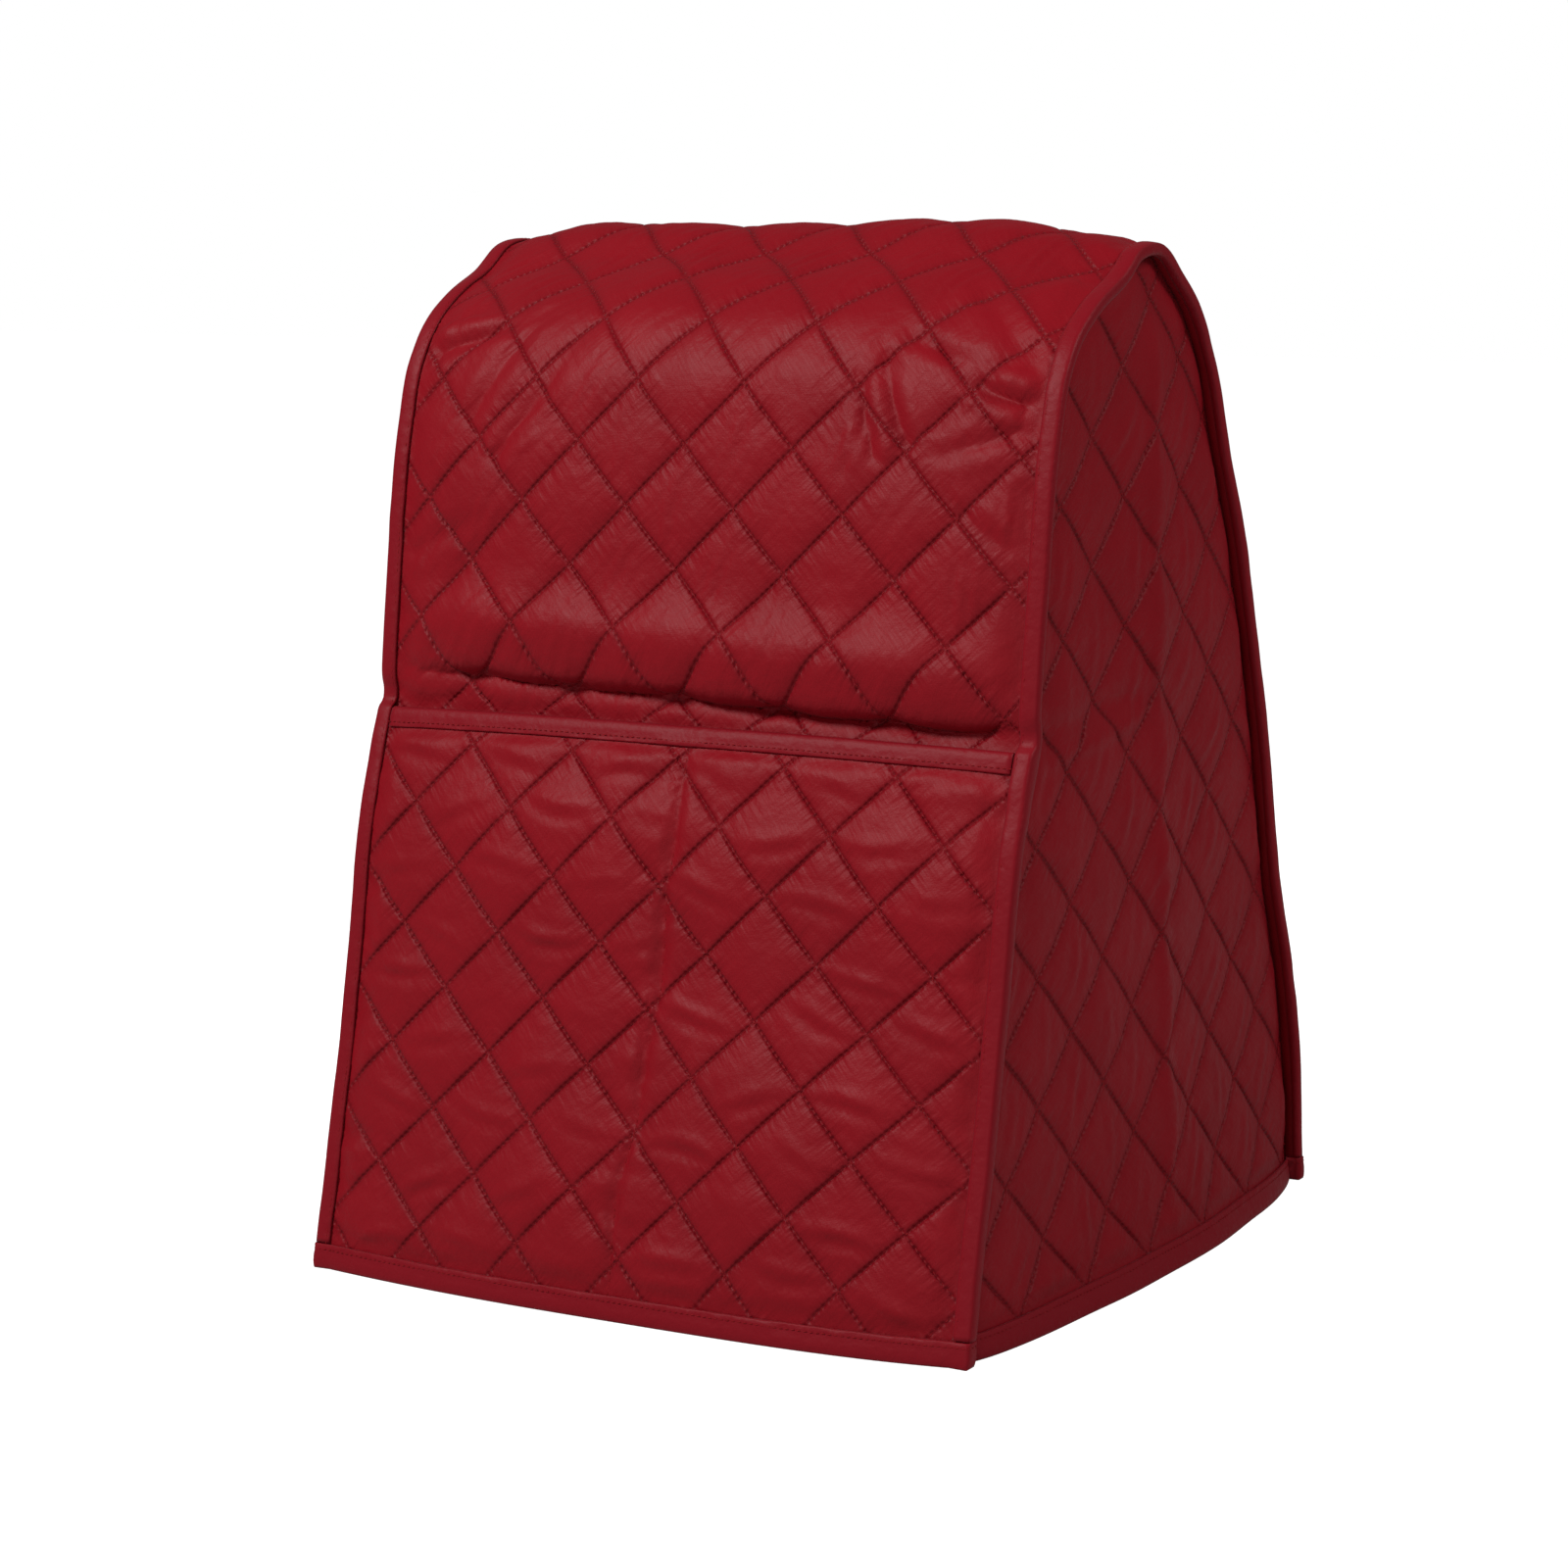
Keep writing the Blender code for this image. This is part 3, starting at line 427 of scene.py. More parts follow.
def satin_polyester(name, colour, shade, hole_pitch=0.0032, thread=0.0007):
    made = bpy.data.materials.new(name)
    made.use_nodes = True
    tree = made.node_tree
    shader = tree.nodes["Principled BSDF"]
    place = add_node(tree, "ShaderNodeTexCoord").outputs["Object"]
    squares = add_node(tree, "ShaderNodeUVMap", uv_map="quilting").outputs["UV"]
    ways = add_node(tree, "ShaderNodeSeparateXYZ", [("Vector", squares)])

    def sum_of(operation, *values):
        node = add_node(tree, "ShaderNodeMath", list(enumerate(values)), operation=operation)
        return node.outputs["Value"]

    def fading(value, rate):
        return sum_of("POWER", 2.718, sum_of("MULTIPLY", value, -rate))

    creases, shadows, pulls = [], [], []
    for across, along, stretch in (("X", "Y", (SQUARE / PUCKER_LONG, SQUARE / PUCKER_WIDE, 1.0)),
                                   ("Y", "X", (SQUARE / PUCKER_WIDE, SQUARE / PUCKER_LONG, 1.0))):
        from_seam = sum_of("PINGPONG", ways.outputs[across], 0.5)
        sharp = fading(sum_of("POWER", from_seam, 2.0), (SQUARE / CREASE_HALF) ** 2)
        shadows.append(fading(from_seam, SQUARE / GROOVE_WIDTH))
        hole = sum_of("SINE", sum_of("MULTIPLY", ways.outputs[along], 2.0 * math.pi * SQUARE / hole_pitch))
        creases.append(sum_of("MULTIPLY", sharp, sum_of("MULTIPLY_ADD", hole, 0.35, 0.65)))
        drawn_in = add_node(tree, "ShaderNodeMapping", [("Vector", squares), ("Scale", stretch)])
        pucker = add_node(tree, "ShaderNodeTexNoise", [("Vector", drawn_in.outputs["Vector"]),
                                                       ("Scale", 1.0), ("Detail", 2.0)])
        near = fading(from_seam, SQUARE / PUCKER_REACH)
        pulls.append(sum_of("MULTIPLY", near, pucker.outputs["Fac"]))
    crease = sum_of("MAXIMUM", *creases)
    shadow = sum_of("MAXIMUM", *shadows)
    cloud = add_node(tree, "ShaderNodeTexNoise", [("Vector", place), ("Scale", 24.0), ("Detail", 3.0)])
    tone = add_node(tree, "ShaderNodeMix", [("Factor", cloud.outputs["Fac"])], data_type="RGBA")
    tone.inputs["A"].default_value = linear(shade)
    tone.inputs["B"].default_value = linear(colour)
    # Painted shade: the colour is mixed towards a dark red in the seam grooves, where shade falls.
    sunk = add_node(tree, "ShaderNodeMix", [("Factor", sum_of("MULTIPLY", shadow, 0.45))], data_type="RGBA")
    tree.links.new(tone.outputs["Result"], sunk.inputs["A"])
    sunk.inputs["B"].default_value = linear("460007")
    tree.links.new(sunk.outputs["Result"], shader.inputs["Base Color"])
    on_bias = [("Vector", squares), ("Rotation", (0.0, 0.0, math.pi / 4))]
    stretched = ("Scale", (SQUARE / STREAK_WIDE, SQUARE / STREAK_LONG, 1.0))
    drawn_out = add_node(tree, "ShaderNodeMapping", [*on_bias, stretched])
    streak = add_node(tree, "ShaderNodeTexNoise", [("Vector", drawn_out.outputs["Vector"]),
                                                   ("Scale", 1.0), ("Detail", 2.0)])
    gloss = add_node(tree, "ShaderNodeMapRange", [("Value", streak.outputs["Fac"]), ("From Min", 0.3),
                                                  ("From Max", 0.7), ("To Min", 0.47), ("To Max", 0.57)])
    tree.links.new(gloss.outputs["Result"], shader.inputs["Roughness"])
    threads = []
    for direction in ("X", "Y"):
        flat = add_node(tree, "ShaderNodeMapping", on_bias)
        threads.append(add_node(tree, "ShaderNodeTexWave", [("Vector", flat.outputs["Vector"]),
                                                            ("Scale", 0.314 * SQUARE / thread),
                                                            ("Distortion", 0.5)], bands_direction=direction))
    weave = sum_of("MULTIPLY", threads[0].outputs["Fac"], threads[1].outputs["Fac"])
    crinkle = add_node(tree, "ShaderNodeTexNoise", [("Vector", place), ("Scale", 85.0), ("Detail", 4.0),
                                                    ("Roughness", 0.6)])
    fine = add_node(tree, "ShaderNodeBump", [("Height", weave), ("Strength", 0.12), ("Distance", 0.0002)])
    soft = add_node(tree, "ShaderNodeBump", [("Height", crinkle.outputs["Fac"]), ("Strength", 0.45),
                                             ("Distance", 0.0020), ("Normal", fine.outputs["Normal"])])
    puckered = add_node(tree, "ShaderNodeBump", [("Height", sum_of("ADD", *pulls)), ("Strength", 0.7),
                                                 ("Distance", 0.0022), ("Normal", soft.outputs["Normal"])])
    drawn = add_node(tree, "ShaderNodeBump", [("Height", crease), ("Strength", 0.8), ("Distance", 0.0009),
                                              ("Normal", puckered.outputs["Normal"])], invert=True)
    tree.links.new(drawn.outputs["Normal"], shader.inputs["Normal"])
    shader.inputs["Specular IOR Level"].default_value = 0.11
    shader.inputs["Sheen Weight"].default_value = 0.03
    shader.inputs["Sheen Roughness"].default_value = 0.40
    shader.inputs["Sheen Tint"].default_value = linear("E0A0A8")
    return made


# Where the mesh's lines lie across a square, in shares of its side: fine in front, coarser
# behind, and closest beside the seams. BACK_FROM is how far along the cloth the back starts.
FINE_SHARES = (0.0, 0.016, 0.036, 0.062, 0.095, 0.135, 0.18, 0.23, 0.285, 0.345, 0.405, 0.468,
               0.532, 0.595, 0.655, 0.715, 0.77, 0.82, 0.865, 0.905, 0.938, 0.964, 0.984)
BACK_SHARES = (0.0, 0.025, 0.06, 0.105, 0.16, 0.225, 0.295, 0.37, 0.45, 0.55, 0.63, 0.705, 0.775,
               0.84, 0.895, 0.94, 0.975)
BACK_FROM = 0.620
OUTLINE_PITCH = 0.0025
EDGE_MARGIN = 0.0014
COARSE_HALF, COARSE_MARGIN, COARSE_PITCH = 0.168, 0.006, 0.008
MAIN_PUFF, MAIN_SOFT_FOLD = 0.0028, 0.00075
TOP_FLATTER = 0.0010


def main_squares(u, s):
    return in_squares(u, s, MAIN_CROSSING)


def main_height(u, s):
    """Height of the main panel's outer face above the middle of its cloth."""
    p, q = main_squares(u, s)
    top = bell((s - 0.50) / 0.10)
    height = quilted(p, q, 40, MAIN_PUFF - TOP_FLATTER * top, MAIN_SOFT_FOLD, 62, 0.19, 0.22)
    # On the front the cloth hangs from the seams that rise to the right.
    height = height - 0.0007 * bell(np.abs(q - np.round(q)) / 0.13) * ease((0.56 - s) / 0.08)
    press = ease((SEAM_LINE - 0.0005 - np.abs(u)) / 0.013) * ease((END - HEM_BINDING - s) / 0.010)
    press = press * ease((s - POCKET_TOP - 0.002) / 0.010)
    # Short gathers run in from the side seams.
    gather = 0.0007 * drift(s / 0.0085, np.sign(u) * 2.5 + 9.5, 71)
    gather = gather * bell((SEAM_LINE - np.abs(u) - 0.004) / 0.012) * (np.abs(u) < SEAM_LINE)
    return CLOTH / 2 + height * press + gather * ease((s - POCKET_TOP) / 0.01)


main_low, main_high = (-FLANGE_EDGE, START), (FLANGE_EDGE, END)
fine_main = np.vstack([
    coarse_grid((-COARSE_HALF, START + COARSE_MARGIN), (COARSE_HALF, POCKET_TOP - 0.016), COARSE_PITCH),
    seam_grid((-FLANGE_EDGE + EDGE_MARGIN, POCKET_TOP - 0.012), (FLANGE_EDGE - EDGE_MARGIN, BACK_FROM),
              MAIN_CROSSING, FINE_SHARES),
    seam_grid((-FLANGE_EDGE + EDGE_MARGIN, BACK_FROM), (FLANGE_EDGE - EDGE_MARGIN, END - EDGE_MARGIN),
              MAIN_CROSSING, BACK_SHARES)])
coarse_main = coarse_grid((-COARSE_HALF, START + COARSE_MARGIN), (COARSE_HALF, END - COARSE_MARGIN),
                          COARSE_PITCH)
main_panel = quilted_cloth("main_panel_cloth", flat_rectangle(main_low, main_high, OUTLINE_PITCH),
                           fine_main, coarse_main,
                           main_middle, main_height, main_squares)
wine_satin = satin_polyester("wine red satin polyester", "7E0714", "700611")
main_panel.data.materials.append(wine_satin)
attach(main_panel, "root")
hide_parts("main_panel")

# The pocket panel
# A second quilted piece laid over the lower front, caught in the side seams and the hem, and
# sewn down its middle to make two pockets. Its squares are fuller and sag into level folds.
POCKET_BINDING = 0.0090
POCKET_CROSSING = (0.0, 0.2520)
POCKET_SLACK = 0.0014
POCKET_PUFF, POCKET_SOFT_FOLD = 0.0035, 0.00150


def pocket_lift(u, s):
    """Height of the pocket's middle above the main panel's."""
    sewn = CLOTH + GAP
    mouth = CLOTH + 2.4 * GAP + TAPE
    lift = sewn + (mouth - sewn) * ease((s - POCKET_TOP + 0.030) / 0.018)
    slack = np.abs(np.sin(np.pi * u / SEAM_LINE)) ** 0.5 * ease(s / 0.06)
    return lift + np.where(np.abs(u) < SEAM_LINE, POCKET_SLACK * slack, 0.0)


def pocket_middle(u, s):
    sag = 0.0015 * drift(u / 0.040 + 3.0, s / 0.050, 17) * ease((SEAM_LINE - np.abs(u)) / 0.02)
    sag = np.maximum(sag * ease((s - START - 0.02) / 0.03) * ease((POCKET_TOP - 0.02 - s) / 0.02), -0.0008)
    return main_middle(u, s, pocket_lift(u, s) + sag * ease(np.abs(u) / 0.02))


def divider_line(s):
    """Where the divider's stitching runs: it wanders to the left on its way down."""
    wander = 0.0105 * ease((s - 0.02) / 0.12) - 0.0055 + 0.0012 * np.sin(91.0 * s)
    return wander + 0.0012 * drift(s / 0.02, 0.5, 88)


def pocket_squares(u, s):
    return in_squares(u, s, POCKET_CROSSING)


def pocket_height(u, s):
    p, q = pocket_squares(u, s)
    height = quilted(p, q, 80, POCKET_PUFF, POCKET_SOFT_FOLD, 0, 0.34, 0.17)
    press = ease((SEAM_LINE - 0.0005 - np.abs(u)) / 0.012) * ease((s - START - HEM_BINDING) / 0.009)
    press = press * ease((POCKET_TOP - POCKET_BINDING + 0.0005 - s) / 0.008)
    off = np.abs(u - divider_line(s))
    press = press * (0.30 + 0.70 * ease(off / 0.008))
    # The divider gathers the cloth into short level folds on both sides of it.
    tuck = 0.0010 * drift(s / 0.0065, np.sign(u) * 1.5 + 4.5, 83) * bell((off - 0.003) / 0.009)
    sewn_down = -0.0011 * bell(off / 0.0016)
    gather = 0.0008 * drift(s / 0.0080, np.sign(u) * 2.5 + 9.5, 87)
    gather = gather * bell((SEAM_LINE - np.abs(u) - 0.004) / 0.013) * (np.abs(u) < SEAM_LINE)
    end = ease((s - START - HEM_BINDING) / 0.006) * ease((POCKET_TOP - POCKET_BINDING - s) / 0.006)
    return np.maximum(CLOTH / 2 + height * press + (tuck + gather + sewn_down) * end, 0.0003)


pocket_low, pocket_high = (-FLANGE_EDGE, START), (FLANGE_EDGE, POCKET_TOP)
fine_pocket = seam_grid((-FLANGE_EDGE + EDGE_MARGIN, START + EDGE_MARGIN),
                        (FLANGE_EDGE - EDGE_MARGIN, POCKET_TOP - EDGE_MARGIN), POCKET_CROSSING, FINE_SHARES)
coarse_pocket = coarse_grid((-COARSE_HALF, START + COARSE_MARGIN),
                            (COARSE_HALF, POCKET_TOP - COARSE_MARGIN), 0.007)
pocket_panel = quilted_cloth("pocket_panel_cloth", flat_rectangle(pocket_low, pocket_high, OUTLINE_PITCH),
                             fine_pocket, coarse_pocket,
                             pocket_middle, pocket_height, pocket_squares)
pocket_panel.data.materials.append(wine_satin)
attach(pocket_panel, "root")
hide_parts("pocket_panel")

# The side panels
# Two tapering pieces of the same quilting, their edges turned out along the seams. They hang
# with a soft upright fold down their middle, from lying folded in half, and flare at the hem.
SIDE_CROSSING = (0.0145, 0.0390)
SIDE_SQUARE = 1.045 * SQUARE
SIDE_INSET = CLOTH + GAP
SIDE_PUFF, SIDE_SOFT_FOLD = 0.0034, 0.00085
CURVE_TOP = 0.47            # above this a side is too narrow to bulge
SIDE_FULLNESS, SIDE_LOW_FULLNESS = 0.0010, 0.0055
SIDE_FLARE, FLARE_HEIGHT = 0.0170, 0.020
APEX = int(np.argmax(CURVE[:, 1]))


def side_middle(y, z, side):
    """Points of the middle of a side panel's cloth at y and z."""
    level = np.clip(z, 0.0, CURVE_TOP)
    front = np.interp(level, CURVE[:APEX + 1, 1], CURVE[:APEX + 1, 0])
    back = np.interp(level, CURVE[APEX:, 1][::-1], CURVE[APEX:, 0][::-1])
    margin = 0.014
    t = ((y - front) / np.maximum(back - front, 0.02) - margin) / (1.0 - 2.0 * margin)
    across = np.sin(np.pi * np.clip(t, 0.0, 1.0)) ** 0.55
    amount = SIDE_FULLNESS + SIDE_LOW_FULLNESS * (1.0 - level / CURVE_TOP)
    amount = amount + SIDE_FLARE * np.exp(-level / FLARE_HEIGHT)
    upright = SIDE_CROSSING[0] + 0.003 * np.sin(14.0 * z)
    crease = 0.0020 * bell((y - upright) / 0.006) + 0.0016 * bell((y - upright) / 0.028)
    crease = crease * ease((0.46 - z) / 0.05) * ease(z / 0.06)
    # Level creases from the way it was packed cross the front half at pocket height.
    packed = 0.0016 * (bell((z - 0.262 - 0.10 * y) / 0.004) - bell((z - 0.273 - 0.06 * y) / 0.006))
    packed = packed * ease((0.02 - y) / 0.04)
    # Beside the front seam the cloth sinks into a long groove.
    groove = -0.0022 * bell((y - front - 0.020) / 0.007) * ease((z - 0.03) / 0.05) * ease((0.43 - z) / 0.05)
    sag = 0.0010 * np.sin(26.0 * y + 19.0 * z) + 0.0013 * drift(y / 0.045, z / 0.06, 29 + side)
    bulge = (amount + crease + packed + groove + sag) * across
    return np.stack([side * (SEAM_LINE + bulge), y, z], axis=-1)


def side_squares(y, z):
    return in_squares(y, z, SIDE_CROSSING, SIDE_SQUARE)


def along_seam(distance, stations):
    """The seam's points moved out by distance."""
    (y, z), (ny, nz) = seam_point(stations), seam_normal(stations)
    return np.stack([y + ny * distance, z + nz * distance], axis=-1)


def strip(rings, closed=False):
    """Points and faces of a strip through cross-sections, with flat ends or closed to a ring."""
    count, width = rings.shape[:2]
    at = np.arange(count * width).reshape(count, width)
    low, high = (at, np.roll(at, -1, axis=0)) if closed else (at[:-1], at[1:])
    faces = np.stack([low, np.roll(low, -1, axis=1), np.roll(high, -1, axis=1), high], axis=-1)
    faces = faces.reshape(-1, 4).tolist()
    if not closed:
        faces += [at[0, ::-1].tolist(), at[-1].tolist()]
    return rings.reshape(-1, 3), faces


seam_s = spaced(START, END, OUTLINE_PITCH)
root = along_seam(-SIDE_INSET, seam_s)
root[0, 1] = root[-1, 1] = HEM_LIFT
root = root[np.concatenate([[True], np.diff(root[:, 1]) * np.where(root[1:, 0] < 0, 1, -1) > -1e-4])]
floor_y = spaced(root[0, 0], root[-1, 0], OUTLINE_PITCH)[1:-1]
side_outline = np.vstack([root[::-1], np.stack([floor_y, np.full_like(floor_y, HEM_LIFT)], axis=-1)])


def from_root(y, z):
    """Distance of each point from the side seam."""
    best = np.full(y.shape, 1.0)
    marks = np.vstack([root[::5], root[-1:]])
    for a, b in zip(marks, marks[1:]):
        run = b - a
        t = np.clip(((y - a[0]) * run[0] + (z - a[1]) * run[1]) / max(run @ run, 1e-12), 0.0, 1.0)
        best = np.minimum(best, np.hypot(y - a[0] - t * run[0], z - a[1] - t * run[1]))
    return best


def inside_outline(points, margin):
    y, z = points.T
    inside = np.zeros(len(points), bool)
    for (ya, za), (yb, zb) in zip(side_outline, np.roll(side_outline, -1, axis=0)):
        if za != zb:
            inside ^= ((za > z) != (zb > z)) & (y < (yb - ya) * (z - za) / (zb - za) + ya)
    return points[inside & (from_root(y, z) > margin) & (z > HEM_LIFT + margin)]


side_low, side_high = (-0.18, HEM_LIFT), (0.18, 0.48)
fine_side = inside_outline(seam_grid(side_low, side_high, SIDE_CROSSING, FINE_SHARES, SIDE_SQUARE), 0.0013)
coarse_side = inside_outline(coarse_grid(side_low, side_high, COARSE_PITCH), 0.005)

for side, label in ((1, "right"), (-1, "left")):
    def middle(y, z):
        return side_middle(y, z, side)

    def height(y, z):
        p, q = side_squares(y, z)
        deep = from_root(y, z)
        raised = quilted(p, q, 120 + side, SIDE_PUFF, SIDE_SOFT_FOLD, 70, 0.30, 0.20)
        press = ease(deep / 0.014) * ease((z - HEM_LIFT - HEM_BINDING) / 0.009)
        gather = 0.0008 * drift(y / 0.010 + z / 0.010, 5.5, 131 + side)
        gather = gather * bell((deep - 0.006) / 0.010) * ease(deep / 0.004)
        return CLOTH / 2 + raised * press + gather * ease((z - HEM_LIFT - HEM_BINDING) / 0.006)

    near, far = along_seam(-SIDE_INSET + CLOTH / 2, seam_s), along_seam(-SIDE_INSET - CLOTH / 2, seam_s)
    turned_edge = np.stack([np.column_stack([np.full(len(seam_s), side * x), line])
                            for x, line in ((SEAM_LINE - CLOTH / 2, near), (FLANGE_EDGE, near),
                                            (FLANGE_EDGE, far), (SEAM_LINE - CLOTH / 2, far))], axis=1)
    turned_edge[..., 2] = np.maximum(turned_edge[..., 2], HEM_LIFT)
    if side > 0:
        turned_edge = turned_edge[:, ::-1]
    panel = quilted_cloth(f"side_panel_{label}_cloth", side_outline, fine_side, coarse_side, middle, height,
                          side_squares, side, strip(turned_edge))
    panel.data.materials.append(wine_satin)
    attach(panel, "root")
    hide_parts(f"side_panel_{label}")


# The quilting's stitches
# Lockstitch in dark red polyester thread, sewn through all the layers before the cloth was cut.
# Each stitch is 2.4 mm long and sinks between two needle holes.
STITCH_PITCH = 0.0032
STITCH_LENGTH = 0.0024
THREAD = 0.00042


def stitch_tree():
    """A Geometry Nodes tree that lays stitches along the edges of a mesh."""
    tree = bpy.data.node_groups.new("stitches", "GeometryNodeTree")
    sockets = {}
    for key, kind, value in (("Lines", "NodeSocketGeometry", None),
                             ("Pitch", "NodeSocketFloat", STITCH_PITCH),
                             ("Length", "NodeSocketFloat", STITCH_LENGTH),
                             ("Thickness", "NodeSocketFloat", THREAD),
                             ("Thread", "NodeSocketMaterial", None)):
        sockets[key] = tree.interface.new_socket(key, in_out="INPUT", socket_type=kind)
        if value is not None:
            sockets[key].default_value = value
    tree.interface.new_socket("Stitches", in_out="OUTPUT", socket_type="NodeSocketGeometry")
    given = add_node(tree, "NodeGroupInput").outputs
    line = add_node(tree, "GeometryNodeMeshToCurve", [("Mesh", given["Lines"])])
    points = add_node(tree, "GeometryNodeCurveToPoints", [("Curve", line.outputs["Curve"]),
                                                          ("Length", given["Pitch"])], mode="LENGTH")
    ball = add_node(tree, "GeometryNodeMeshIcoSphere", [("Radius", 0.5), ("Subdivisions", 1)])
    size = add_node(tree, "ShaderNodeCombineXYZ", [("X", given["Thickness"]), ("Y", given["Thickness"]),
                                                   ("Z", given["Length"])])
    one = add_node(tree, "GeometryNodeTransform", [("Geometry", ball.outputs["Mesh"]),
                                                   ("Scale", size.outputs["Vector"])])
    turn = add_node(tree, "FunctionNodeAlignRotationToVector", [("Vector", points.outputs["Tangent"])],
                    axis="Z")
    laid = add_node(tree, "GeometryNodeInstanceOnPoints", [("Points", points.outputs["Points"]),
                                                           ("Instance", one.outputs["Geometry"]),
                                                           ("Rotation", turn.outputs["Rotation"])])
    real = add_node(tree, "GeometryNodeRealizeInstances", [("Geometry", laid.outputs["Instances"])])
    done = add_node(tree, "GeometryNodeSetMaterial", [("Geometry", real.outputs["Geometry"]),
                                                      ("Material", given["Thread"])])
    add_node(tree, "NodeGroupOutput", [("Stitches", done.outputs["Geometry"])])
    return tree, {key: socket.identifier for key, socket in sockets.items()}


# Spun polyester thread, dyed like the cloth but duller, so its stitches show only close up.
thread_red = bpy.data.materials.new("dark red polyester thread")
thread_red.use_nodes = True
thread_face = thread_red.node_tree.nodes["Principled BSDF"]
thread_face.inputs["Base Color"].default_value = linear("7C080E")
thread_face.inputs["Roughness"].default_value = 0.7
thread_face.inputs["Specular IOR Level"].default_value = 0.15
sewing, sewing_inputs = stitch_tree()


def sew(name, lines, pitch=STITCH_PITCH, length=STITCH_LENGTH, thickness=THREAD):
    """One object of stitches along lines, each an array of points on the cloth's face."""
    mesh = bpy.data.meshes.new(name)
    starts = np.cumsum([0] + [len(line) for line in lines])
    edges = [(k, k + 1) for a, b in zip(starts, starts[1:]) for k in range(a, b - 1)]
    mesh.from_pydata(np.vstack(lines).tolist(), edges, [])
    drawn = bpy.data.objects.new(name, mesh)
    bpy.context.collection.objects.link(drawn)
    sewer = drawn.modifiers.new("sewing", "NODES")
    sewer.node_group = sewing
    for key, value in (("Pitch", pitch), ("Length", length), ("Thickness", thickness),
                       ("Thread", thread_red)):
        sewer[sewing_inputs[key]] = value
    seen_by = bpy.context.evaluated_depsgraph_get()
    made = bpy.data.meshes.new_from_object(drawn.evaluated_get(seen_by))
    drawn.modifiers.remove(sewer)
    drawn.data = made
    made.shade_smooth()
    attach(drawn, "root")
    return drawn


def seam_lines(low, high, crossing, inside, square=SQUARE, pitch=0.003):
    """The quilting's seams across a cloth, as flat lines cut to where inside says."""
    ends = corner_places(low, high, crossing, square)
    size = square / math.sqrt(2.0)
    found = []
    for m in (0, 1):
        run = np.arange(ends[:, 1 - m].min(), ends[:, 1 - m].max(), pitch / square)
        for k in range(math.ceil(ends[:, m].min()), math.floor(ends[:, m].max()) + 1):
            p, q = (np.full_like(run, k), run) if m == 0 else (run, np.full_like(run, k))
            line = np.stack([crossing[0] + (p + q) * size, crossing[1] + (p - q) * size], axis=-1)
            held = inside(line)
            cuts = np.flatnonzero(np.diff(held.astype(int)) != 0) + 1
            parts = zip(np.split(line, cuts), np.split(held, cuts))
            found += [part for part, kept in parts if kept[0] and len(part) > 3]
    return found


def on_face(flat, middle, height, outward=1, lift=0.00005):
    a, b = flat.T
    return middle(a, b) + out_of(middle, a, b) * (outward * (height(a, b) + lift))[:, None]


def in_main(flat):
    u, s = flat.T
    return (np.abs(u) < SEAM_LINE - 0.001) & (s > POCKET_TOP + 0.003) & (s < END - HEM_BINDING - 0.001)


def in_pocket(flat):
    u, s = flat.T
    low, high = START + HEM_BINDING + 0.001, POCKET_TOP - POCKET_BINDING - 0.001
    return (np.abs(u) < SEAM_LINE - 0.001) & (s > low) & (s < high)


sew("main_panel_stitches", [on_face(line, main_middle, main_height)
                            for line in seam_lines(main_low, main_high, MAIN_CROSSING, in_main)])
divider_s = np.arange(START + HEM_BINDING, POCKET_TOP - 0.001, 0.002)
divider = np.stack([divider_line(divider_s), divider_s], axis=-1)
pocket_seams = seam_lines(pocket_low, pocket_high, POCKET_CROSSING, in_pocket)
sew("pocket_stitches", [on_face(line, pocket_middle, pocket_height) for line in [divider, *pocket_seams]])
for side, label in ((1, "right"), (-1, "left")):
    def middle(y, z):
        return side_middle(y, z, side)

    def height(y, z):
        return np.full(np.shape(y), CLOTH / 2 + 0.0001)

    def in_side(flat):
        kept = {tuple(p) for p in inside_outline(flat, 0.004)}
        return np.array([tuple(p) in kept and p[1] > HEM_LIFT + HEM_BINDING for p in flat])

    side_seams = seam_lines(side_low, side_high, SIDE_CROSSING, in_side, SIDE_SQUARE)
    sew(f"side_{label}_stitches", [on_face(line, middle, height, side) for line in side_seams])

# The seam bindings
# A folded strip of the same polyester round each side seam's raw edges, from the hem over the
# top and down again. Its fold stands out as a rounded edge, and its stitching draws it in.
SEAM_BINDING_FROM, BACK_LEAF_FROM = 0.1675, 0.1722
BINDING_STITCH = (0.0030, 0.0021, 0.0005)       # pitch, length and thickness


def satin_tape(name, colour):
    """Bias-cut satin polyester tape: the cloth's colour, with a fine puckered surface."""
    made = bpy.data.materials.new(name)
    made.use_nodes = True
    tree = made.node_tree
    shader = tree.nodes["Principled BSDF"]
    shader.inputs["Base Color"].default_value = linear(colour)
    shader.inputs["Roughness"].default_value = 0.50
    shader.inputs["Specular IOR Level"].default_value = 0.11
    shader.inputs["Sheen Weight"].default_value = 0.03
    shader.inputs["Sheen Roughness"].default_value = 0.40
    place = add_node(tree, "ShaderNodeTexCoord").outputs["Object"]
    crinkle = add_node(tree, "ShaderNodeTexNoise", [("Vector", place), ("Scale", 260.0), ("Detail", 3.0)])
    soft = add_node(tree, "ShaderNodeBump", [("Height", crinkle.outputs["Fac"]), ("Strength", 0.5),
                                             ("Distance", 0.0008)])
    tree.links.new(soft.outputs["Normal"], shader.inputs["Normal"])
    return made


wine_tape = satin_tape("wine red satin tape", "720714")


